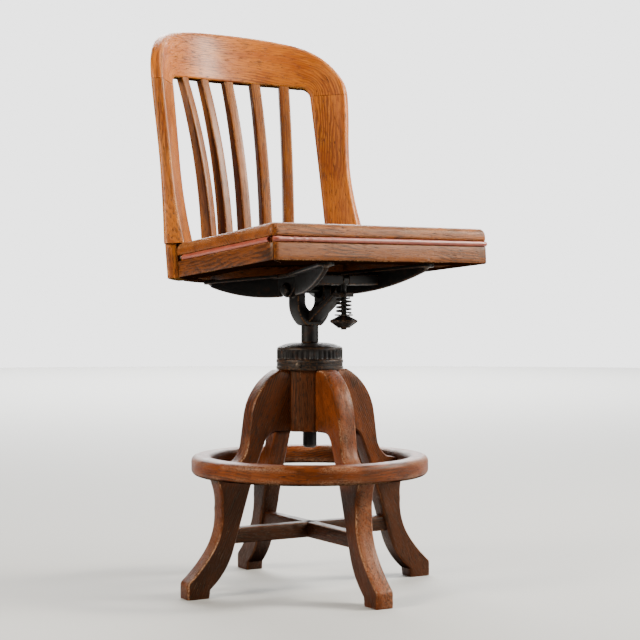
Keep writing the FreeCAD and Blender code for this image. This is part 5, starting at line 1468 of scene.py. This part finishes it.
@dataclass(frozen=True)
class Seat:
    """The slab, its rim of rails, the bead, the posts, the crest and the slats, about the tilt pivot.

    Attributes:
        shop: Makes the pieces.
        rim_low: Height of the rails' underside.
        rim_top: Height of their top.
        slab_top: Height of the seat.
        front_y: Front edge, ahead of the pivot.
        front_half: Half width at the front.
        post_y: Where the sides meet the posts.
        post_half: Half width there.
        rear_y: Rear edge, behind the pivot.
        corner: Size of the rounded front corners.
        edge_depth: How far the slab's rounded edge reaches in.
        edge_height: How far it reaches down.
        rail_width: Of each rail, in plan.
        mitre_gap: Half of the gap in the mitres.
        bead_height: Of the bead's middle.
        bead_radius: Of the bead.
        bead_inset: Of its middle from the seat's edge.
        bead_rear: Where its rear ends are.
        back_radius: Of the curve of the back's front face.
        back_thickness: Of posts and crest.
        sawing: Distance from which the front outlines are drawn onto the curve.
        rake_heights: Three heights on the back.
        rake_places: How far behind the pivot its face is at those heights.
        crest_joint: Height where the crest meets the posts.
        crest_top: Height of the crest's upper corners.
        joint_gap: Half of the gap in that joint.
        waist: Height where the posts are narrowest.
        swell: How far the posts come forward at their shoulder.
        post_inner: Inner edge of a post's foot, along the back's curve.
        post_foot: Outer edge of the foot.
        slat_deep: Depth of a slat at the seat.
        slat_shallow: Depth at the crest.
        slat_half: Half of its width.
        slat_spread: Spacing of the slats at the seat and at the crest, along the back's curve.
    """

    shop: Workshop
    rim_low: float = 29.0
    rim_top: float = 59.0
    slab_top: float = 91.0
    front_y: float = -231.0
    front_half: float = 226.0
    post_y: float = 120.0
    post_half: float = 208.0
    rear_y: float = 232.0
    corner: float = 12.0
    edge_depth: float = 11.0
    edge_height: float = 15.0
    rail_width: float = 46.0
    mitre_gap: float = 0.5
    bead_height: float = 63.55
    bead_radius: float = 4.5
    bead_inset: float = 1.5
    bead_rear: float = 84.0
    back_radius: float = 258.0
    back_thickness: float = 23.0
    sawing: float = 180.0
    rake_heights: tuple[float, float, float] = (29.0, 275.0, 520.0)
    rake_places: tuple[float, float, float] = (209.5, 230.5, 259.0)
    crest_joint: float = 396.0
    crest_top: float = 506.0
    joint_gap: float = 0.2
    waist: float = 250.0
    swell: float = 14.0
    post_inner: float = 167.5
    post_foot: float = 237.0
    slat_deep: float = 27.0
    slat_shallow: float = 14.0
    slat_half: float = 10.0
    slat_spread: tuple[float, float] = (45.0, 57.5)

    @property
    def shoulder(self) -> float:
        """Height of the posts' shoulders, just above the slab."""
        return self.slab_top + 0.3

    @property
    def rear_radius(self) -> float:
        """Radius of the seat's rear edge, an arc over the chord between the posts."""
        rise = self.rear_y - self.post_y
        return (self.post_half ** 2 + rise ** 2) / (2 * rise)

    @property
    def rear_centre(self) -> float:
        """Where the centre of the rear edge is, behind the pivot."""
        return self.rear_y - self.rear_radius

    def face_y(self, height: Array | float) -> Array:
        """How far behind the pivot the back's face is at a height: a parabola through three places."""
        return np.polyval(np.polyfit(self.rake_heights, self.rake_places, 2), height)

    def back_point(self, along: Array, height: Array, behind: Array) -> Array:
        """Points on the curved back, in the level seat.

        Args:
            along: Distance from the middle, along the face.
            height: Above the pivot.
            behind: Distance behind the face.
        Returns:
            The points: an arc in plan, moved back with height.
        """
        angle = along / self.back_radius
        reach = self.back_radius + behind
        y = self.face_y(height) - self.back_radius + reach * np.cos(angle)
        return np.stack(np.broadcast_arrays(reach * np.sin(angle), y, height), axis=-1)

    def back_place(self, flat: Array, depth: Array) -> Array:
        """Places a front outline on the curved back."""
        return seat_place(self.back_point(flat[..., 0], flat[..., 1], depth + np.zeros(flat.shape[:2])))

    def post_place(self, flat: Array, depth: Array) -> Array:
        """Places a post's outline on the curved back, its front swelling forward towards the seat."""
        height = flat[..., 1]
        swell = self.swell * np.square(np.clip((self.waist - height) / (self.waist - self.shoulder), 0, 1))
        behind = depth * (self.back_thickness + swell) / self.back_thickness - swell
        return seat_place(self.back_point(flat[..., 0], height, behind))

    def on_face(self, corners: Sequence[Sequence[float]]) -> Array:
        """A front outline whose arcs are drawn on the sawing plane, as lengths along the curved face."""
        flat = path([(self.sawing * math.tan(c[0] / self.back_radius), *c[1:]) for c in corners], step=1.5)
        return np.stack([self.back_radius * np.arctan(flat[:, 0] / self.sawing), flat[:, 1]], axis=1)

    def side_x(self, y: float) -> float:
        """Half width of the seat at a distance behind the pivot."""
        share = (y - self.front_y) / (self.post_y - self.front_y)
        return self.front_half + (self.post_half - self.front_half) * share

    def notch_corners(self, height: float, gap: float) -> list[tuple[float, float]]:
        """Where the seat's plan meets the right post: on the side, at its inner edge, on the rear arc.

        Args:
            height: Level at which the post is met.
            gap: Clearance in front of the post.
        Returns:
            The three corners in plan.
        """
        axis = float(self.face_y(height)) - self.back_radius
        reach = self.back_radius - gap
        side_y = self.post_y
        for _ in range(6):
            side_y = axis + math.sqrt(reach ** 2 - self.side_x(side_y) ** 2)
        angle = (self.post_inner - gap) / self.back_radius
        sin, cos = math.sin(angle), math.cos(angle)
        lift = self.rear_centre - axis
        rear = lift * cos + math.sqrt(self.rear_radius ** 2 - (lift * sin) ** 2)
        side = (self.side_x(side_y), side_y)
        return [side, (reach * sin, axis + reach * cos), (rear * sin, axis + rear * cos)]

    def build(self) -> None:
        """Makes every wooden piece of the seat and back, the bead and the screws."""
        self.slab()
        self.front_rail()
        self.side_rails()
        self.rear_rail()
        self.bead()
        self.bead_tacks()
        self.crest()
        self.posts()
        for node, place in SLATS.items():
            self.slat(node, place)
        self.post_screws()
        self.shop.keep(Slot.DOWEL, "post_dowels")

    def slab(self) -> None:
        """The slab: its plan at each level, drawn in for the groove and rounded edge, then a dish."""
        skin = Skin()
        groove_top, groove_depth = 68.4, 6.5
        side, inner, rear = self.notch_corners(75.0, 0.3)
        right = path([
            (0, self.front_y), (self.front_half - self.corner, self.front_y, 0.2),
            (self.side_x(self.front_y + self.corner), self.front_y + self.corner),
            (*side, bow_of(side, inner, self.back_radius)), inner,
            (*rear, bow_of(rear, (0, self.rear_y), self.rear_radius)), (0, self.rear_y)], step=3.0)
        plan = np.concatenate([right, right[1:-1][::-1] * np.array([-1.0, 1.0])])
        start = self.slab_top - self.edge_height
        levels = [(groove_depth, self.rim_top), (groove_depth, groove_top), (1.6, groove_top + 0.1),
                  (0.6, groove_top + 1.0), (0.1, groove_top + 2.6), (0.0, groove_top + 4.1), (0.0, start)]
        levels += [(self.edge_depth * (1 - math.cos(turn)), start + self.edge_height * math.sin(turn))
                   for turn in np.radians(np.arange(10, 91, 10))]
        # The edge is left nearly square beside the posts, where a rounding would fold over itself.
        spread = np.hypot(np.abs(plan[:, 0]) - inner[0], plan[:, 1] - inner[1])
        ease = np.clip((spread - 25) / 30, 0.08, 1)[:, None]
        rings = [at_height(inset(plan, drawn * ease), z) for drawn, z in levels]
        middle = np.array([0.0, -10.0])
        rim = rings[-1][:, :2]
        for share in np.concatenate([np.linspace(0.03, 0.9, 22), [0.97]]):
            spot = middle + (rim - middle) * (1 - share)
            dish = np.clip(6.0 - (spot[:, 0] ** 2 + (spot[:, 1] + 20.0) ** 2) / 2800.0, 0, None)
            rings.append(np.hstack([spot, (self.slab_top - dish)[:, None]]))
        points = np.stack(rings)
        wear = np.zeros(points.shape[:2])
        wear[2:4] = 0.8
        wear[8:14] = 0.55
        index = skin.grid(seat_place(points), points, wear)
        skin.cap(index[0])
        skin.cap(index[-1])
        self.shop.piece("seat_slab", skin, Body.SEAT, Slot.SEAT_OAK)

    def rail(self, node: str, inner: Array, outer: Array, grain_way: tuple[float, float],
             shift: float) -> None:
        """One rail of the rim.

        Args:
            node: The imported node's name.
            inner: Its inner edge in plan.
            outer: Its outer edge, station for station.
            grain_way: Direction of the grain in plan.
            shift: Moves the grain.
        """
        skin = Skin()
        height = self.rim_top - self.rim_low - 0.2
        board = Board(inner, outer, height, 1.8, grain_way, across=5, end_round=0.6, flutter=0.35)
        board.put(skin, laid(seat_place, "abd", self.rim_low), (shift, shift * 0.7, shift))
        self.shop.piece(node, skin, Body.SEAT, Slot.SEAT_OAK)

    def front_rail(self) -> None:
        """The front rail, mitred in the middle of both rounded corners."""
        turn = self.corner * (1 - math.sqrt(0.5))
        x, y = self.front_half - turn - self.mitre_gap, self.front_y + turn
        outer = path([
            (-x, y, 0.1), (-self.front_half + self.corner, self.front_y),
            (self.front_half - self.corner, self.front_y, 0.1), (x, y)], step=3.0)
        half = self.front_half - self.rail_width - self.mitre_gap
        inner = np.stack([np.linspace(-half, half, len(outer)),
                          np.full(len(outer), self.front_y + self.rail_width)], axis=1)
        self.rail("front_rail", inner, outer, (1.0, 0.0), 1.3)

    def rear_joint(self) -> tuple[float, float]:
        """Where the inner edges of a side rail and the rear rail meet behind a post."""
        return (self.rear_radius - self.rail_width) * math.sin(self.post_inner / self.back_radius), 139.0

    def side_rails(self) -> None:
        """The side rails, from the mitre to the post's front face."""
        turn = self.corner * (1 - math.sqrt(0.5))
        end, joint, _ = self.notch_corners(44.0, 0.4)
        inner_joint = self.rear_joint()
        start = (self.front_half - turn, self.front_y + turn + self.mitre_gap)
        inner_start = (self.front_half - self.rail_width, self.front_y + self.rail_width + self.mitre_gap)
        inner_end = (self.post_half - self.rail_width, self.post_y)
        corner_y = self.front_y + self.corner
        outer = path([(*start, 0.1), (self.side_x(corner_y), corner_y),
                      (*end, bow_of(end, joint, self.back_radius)), joint], step=4.0)
        inner = path([inner_start, inner_end, inner_joint], step=4.0)
        pairs = [(inner_start, start), (inner_end, end), (inner_joint, joint)]
        inner, outer = paired(inner, outer, pairs, 4.0)
        slope = (self.post_half - self.front_half) / (self.post_y - self.front_y)
        for side, node in SIDES.items():
            flip = np.array([side, 1.0])
            self.rail(node + "_rail", inner * flip, outer * flip, (slope * side, 1.0), 2.1 + side)

    def rear_rail(self) -> None:
        """The rear rail, between two arcs about one centre."""
        _, _, rear = self.notch_corners(44.0, 0.4)
        inner_radius = self.rear_radius - self.rail_width
        runs = []
        for radius, end in ((inner_radius, self.rear_joint()), (self.rear_radius, rear)):
            reach = math.asin((end[0] - 0.4) / radius)
            angle = np.linspace(reach, -reach, 70)
            runs.append(np.stack([radius * np.sin(angle), self.rear_centre + radius * np.cos(angle)], axis=1))
        self.rail("rear_rail", *runs, (1.0, 0.0), 4.0)

    def bead(self) -> None:
        """The bumper tube in the groove: one run down the left side, one round the front and right."""
        drawn, rear, corner_y = self.bead_inset, self.bead_rear, self.front_y + self.corner
        side_rear, side_front = self.side_x(rear) - drawn, self.side_x(corner_y) - drawn
        left = path([(-side_rear, rear), (-side_front, corner_y)], step=2.5)
        front = path([
            (-self.front_half + 5, self.front_y + 5, 0.12), (-self.front_half + 14, self.front_y + drawn),
            (self.front_half - self.corner, self.front_y + drawn, 0.2), (side_front, corner_y),
            (side_rear, rear)], step=2.5)
        for node, run in (("bumper_bead_left", left), ("bumper_bead", front)):
            skin = Skin()
            centres = at_height(run, self.bead_height)
            uneven = self.bead_radius + 0.16 * noise(centres, 57.0, 0.4) + 0.12 * noise(centres, 23.0, 1.1)
            dented = np.exp(-((run[:, 0] + 165) / 32) ** 2) * (run[:, 1] < self.front_y + 3)
            radius = (uneven - 0.8 * dented * (1 + noise(centres, 11.0)))[:, None]
            index = tube(skin, centres, radius, seat_place, 20)
            for end, after in ((0, 1), (-1, -2)):
                mouth = centres[end]
                self.tube_end(skin, index[end], mouth, mouth + (centres[after] - mouth) * 2.0)
            self.shop.piece(node, skin, Body.SEAT, Slot.BEAD)

    @staticmethod
    def tube_end(skin: Skin, ring: Array, mouth: Array, inside: Array) -> None:
        """Closes a tube's end with its wall and a short dark bore.

        Args:
            skin: The skin that holds the tube.
            ring: Vertex indices of the tube's last ring.
            mouth: Middle of that ring.
            inside: Middle of the bore's bottom.
        """
        outer = np.concatenate(skin.points)[ring]
        centre = seat_place(mouth)
        bore = centre + (outer - centre) * 0.62
        walls = np.stack([bore, bore + seat_place(inside) - centre])
        index = skin.add(walls, np.zeros(3), 0.0) + np.arange(2 * len(ring)).reshape(2, -1)
        skin.join(ring, index[0])
        skin.join(index[0], index[1])
        skin.cap(index[1])

    def bead_tacks(self) -> None:
        """The tack behind each rear end of the bead, turned about its own axis."""
        skin = Skin()
        dome = path([
            (0.2, 1.0), (2.2, 0.6, 0.12), (3.0, 0), (1.2, -0.4), (1.0, -13.5), (0.2, -13.5)], step=0.6)
        spot = (self.bead_rear + 3.3, self.bead_height)
        reach = self.side_x(self.bead_rear) + 3.2
        for side in SIDES:
            lathe(skin, dome, along_x(seat_place, spot, side * reach, side), 20)
        self.shop.piece("bead_tacks", skin, Body.SEAT, Slot.SCREW)

    def crest(self) -> None:
        """The crest: a front outline laid on the curved back, its grain following the outline."""
        skin = Skin()
        top, joint = self.crest_top, self.crest_joint + self.joint_gap
        outer = self.on_face([
            (-232, joint, -0.092), (-224, 432, -0.078), (-116, top, -0.069), (116, top, -0.078),
            (224, 432, -0.092), (232, joint)])
        inner = self.on_face([
            (-162, joint, -QUARTER), (-142, 412, -0.04), (142, 412, -QUARTER), (162, joint)])
        half = [((162, joint), (232, joint)), ((158, 406), (216, 446)), ((146, 411.6), (190, 474)),
                ((125, 413.5), (150, 495.5)), ((95, 416.5), (100, 509))]
        inner, outer = paired(inner, outer, mirrored(half) + half[::-1], 5.0)
        board = Board(inner, outer, self.back_thickness, 6.0, across=13, flutter=0.4, end_round=0, bent=True)
        board.put(skin, self.back_place, (0.3, 0.8, 0))
        self.shop.piece("crest_rail", skin, Body.SEAT, Slot.BACK_OAK)

    def posts(self) -> None:
        """The posts: each a curved board that swells to a shoulder, over a narrower foot in the seat."""
        joint, waist, shoulder = self.crest_joint - self.joint_gap, self.waist, self.shoulder
        outer = self.on_face([
            (232, joint, -0.017), (226.7, 323, 0.017), (221.5, waist, 0.06), (243, shoulder)])
        inner = self.on_face([(162, joint), (166.5, shoulder)])
        inner, outer = paired(inner, outer, [
            ((162, joint), (232, joint)), ((164.2, waist), (221.5, waist)),
            ((166.5, shoulder), (243, shoulder))])
        foot = strip(np.linspace(shoulder + 4, self.rim_low, 16), self.post_inner, self.post_foot)
        foot_in, foot_out = (edge[:, ::-1] for edge in foot)
        for side, node in SIDES.items():
            skin = Skin()
            flip = np.array([side, 1.0])
            shift, way = (1.0 + side, 2.0 + side, 0.5), (0.03 * side, 1.0)
            board = Board(inner * flip, outer * flip, self.back_thickness, 5.0, way, 9, 0.8, 0.5)
            board.put(skin, self.post_place, shift)
            board = Board(foot_in * flip, foot_out * flip, self.back_thickness - 1, 4.0, way, 7, 0.8, 0.5)
            board.put(skin, self.back_place, shift)
            self.shop.piece(node + "_post", skin, Body.SEAT, Slot.BACK_OAK)

    def slat(self, node: str, place: int) -> None:
        """One slat, sawn to a forward parabola and deeper at the seat, between slab and crest.

        Args:
            node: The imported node's name.
            place: How many slats to the right of the middle one.
        """
        skin = Skin()
        spread_low, spread_top = self.slat_spread
        low = self.back_point(np.array(place * spread_low), np.array(self.slab_top - 12.0), np.array(-1.0))
        top = self.back_point(np.array(place * spread_top), np.array(436.0), np.array(12.0))
        length = float(np.linalg.norm(top - low))
        up = (top - low) / length
        angle = place * (spread_low + spread_top) / 2 / self.back_radius
        across = np.cross(np.array([math.sin(angle), math.cos(angle), 0.0]), up)
        across /= np.linalg.norm(across)
        outwards = np.cross(up, across)
        deep, taper = self.slat_deep, self.slat_shallow - self.slat_deep

        def lay(flat: Array, depth: Array) -> Array:
            """Places points across the slat, up it and through it, on its curve."""
            share = flat[..., 1] / length
            forward = 4 * share * (1 - share) * 0.04 * length
            through = (depth / deep - 0.5) * (deep + taper * share) - forward
            face = low + flat[..., :1] * across + flat[..., 1:] * up
            return seat_place(face + through[..., None] * outwards)

        edges = strip(np.linspace(0, length, 60), -self.slat_half, self.slat_half)
        inner, outer = (edge[:, ::-1] for edge in edges)
        board = Board(inner, outer, deep, 2.6, (0.0, 1.0), 4, 0.0, 0.3)
        board.put(skin, lay, (place * 0.6, 3.0 + place, 1.0))
        self.shop.piece(node, skin, Body.SEAT, Slot.BACK_OAK)

    def post_screws(self) -> None:
        """The screws that hold each post to the seat, their heads on the post's back."""
        skin = Skin()
        head = path([
            (0.3, 2.4), (2.8, 2.1, 0.12), (5, 0.2), (5, 0), (2.5, 0), (2.5, -45), (0.3, -45)], step=0.8)
        for side in SIDES:
            for height in (44.0, 75.0):
                along = side * 198.0
                spot = self.back_point(np.array(along), np.array(height), np.array(self.back_thickness - 1))
                sin, cos = math.sin(along / self.back_radius), math.cos(along / self.back_radius)
                axes = np.array([[cos, -sin, 0.0], [0.0, 0.0, 1.0], [sin, cos, 0.0]])
                lathe(skin, head, lambda points, spot=spot, axes=axes: seat_place(spot + points @ axes), 20)
        self.shop.piece("post_screws", skin, Body.SEAT, Slot.SCREW)


# Studio

@dataclass(frozen=True)
class Lamp:
    """A soft square light aimed at a point.

    Attributes:
        name: Of the lamp.
        spot: Where it hangs, in metres.
        aim: What it points at.
        size: Of its side.
        watts: Its power.
        colour: Of its light.
    """

    name: str
    spot: tuple[float, float, float]
    aim: tuple[float, float, float]
    size: float
    watts: float
    colour: str = "#FFFCF6"

    def put(self) -> None:
        """Adds the lamp to the scene."""
        data = bpy.data.lights.new(self.name, "AREA")
        data.size = self.size
        data.energy = self.watts
        data.color = srgb(self.colour)[:3]
        made = bpy.data.objects.new(self.name, data)
        made.location = self.spot
        made.rotation_euler = (Vector(self.aim) - Vector(self.spot)).to_track_quat("-Z", "Y").to_euler()
        bpy.context.scene.collection.objects.link(made)


LAMPS = (
    Lamp("window", (2.5, -1.4, 1.9), (0, 0, 0.6), 1.1, 200.0),
    Lamp("front", (1.5, -2.3, 1.2), (0, 0, 0.6), 0.9, 52.0),
    Lamp("high", (0.6, -0.5, 3.3), (0, 0, 0.5), 1.2, 60.0),
    Lamp("sheen", (1.8, -1.1, 2.0), (0, 0.2, 1.0), 0.4, 80.0, "#FFF6E6"),
    Lamp("left", (-2.7, 0.0, 1.6), (0, 0, 0.5), 0.9, 170.0, "#FFF4E4"),
    Lamp("backdrop", (3.8, 6.0, 4.0), (3.8, 6.1, 0), 7.0, 3000.0, "#FFFFFF"),
)


@dataclass(frozen=True)
class Studio:
    """Camera at the photograph's view, a pale floor and soft light.

    Attributes:
        view: Angle of the camera from straight in front, in degrees.
        distance: From the swivel axis, in metres.
        height: Of the lens above the floor.
        lens: Focal length for the sensor.
        sensor: Width of the sensor, in millimetres.
        aim_right: Aim to the right of the axis.
        aim_height: Height of the aim.
        floor_radius: Of the floor.
        floor_colour: Of the floor.
        room: Strength of the dim room's light.
        backdrop: Strength of the white backdrop's light.
        backdrop_edge: Cosines of the angle from the view's way between which the backdrop fades.
    """

    view: float = 34.2
    distance: float = 2.858
    height: float = 0.514
    lens: float = 89.7
    sensor: float = 36.0
    aim_right: float = 0.0183
    aim_height: float = 0.478
    floor_radius: float = 9.5
    floor_colour: str = "#9A9A98"
    room: float = 0.12
    backdrop: float = 3.0
    backdrop_edge: tuple[float, float] = (0.86, 0.94)

    def build(self) -> None:
        """Adds the camera, floor, lamps and sky."""
        self.camera()
        self.floor()
        for lamp in LAMPS:
            lamp.put()
        self.sky()

    @property
    def ahead(self) -> Vector:
        """Level direction that the camera looks in."""
        return Vector((math.sin(math.radians(self.view)), math.cos(math.radians(self.view)), 0.0))

    def camera(self) -> None:
        """Adds the camera."""
        axis = Vector((0.0, AXIS_Y * METRE, 0.0))
        right = Vector((self.ahead.y, -self.ahead.x, 0.0))
        spot = axis - self.ahead * self.distance + Vector((0, 0, self.height))
        aim = axis + right * self.aim_right + Vector((0, 0, self.aim_height))
        data = bpy.data.cameras.new("camera")
        data.lens = self.lens
        data.sensor_width = self.sensor
        data.clip_end = 50.0
        made = bpy.data.objects.new("camera", data)
        made.location = spot
        made.rotation_euler = (aim - spot).to_track_quat("-Z", "Y").to_euler()
        bpy.context.scene.collection.objects.link(made)
        bpy.context.scene.camera = made

    def sky(self) -> None:
        """A dim room with a white backdrop on the side that the camera looks to at rest."""
        world = bpy.data.worlds.new("sky")
        world.use_nodes = True
        graph = Graph(world.node_tree, "Background")
        facing = graph.add(Kind.ALONG, graph.add(Kind.LOOK), tuple(self.ahead))
        strength = graph.add(Kind.STEP, facing, *self.backdrop_edge, self.room, self.backdrop)
        graph.set(Color=srgb("#FFFFFF"), Strength=strength)
        bpy.context.scene.world = world

    def floor(self) -> None:
        """A plain pale disc."""
        material, graph = new_material("floor")
        graph.set(Base_Color=srgb(self.floor_colour), Roughness=0.9, Specular_IOR_Level=0.1)
        mesh = bpy.data.meshes.new("floor")
        turns = np.linspace(0, 2 * math.pi, 180, endpoint=False)
        rim = at_height(np.stack([np.cos(turns), np.sin(turns)], axis=1) * self.floor_radius, 0.0)
        mesh.from_pydata(rim.tolist(), [], [list(range(len(rim)))])
        mesh.materials.append(material)
        floor = bpy.data.objects.new("floor", mesh)
        bpy.context.scene.collection.objects.link(floor)


def corners(box: Sequence) -> list[list[float]]:
    """A box's two corners as plain lists."""
    return [list(map(float, corner)) for corner in box]


def main() -> None:
    """Builds the stool's looks and the studio."""
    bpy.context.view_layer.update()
    shop = Workshop()
    Base(shop).build()
    Ironwork(shop).build()
    Seat(shop).build()
    Studio().build()
    bpy.context.view_layer.update()


if __name__ == "__main__":
    main()
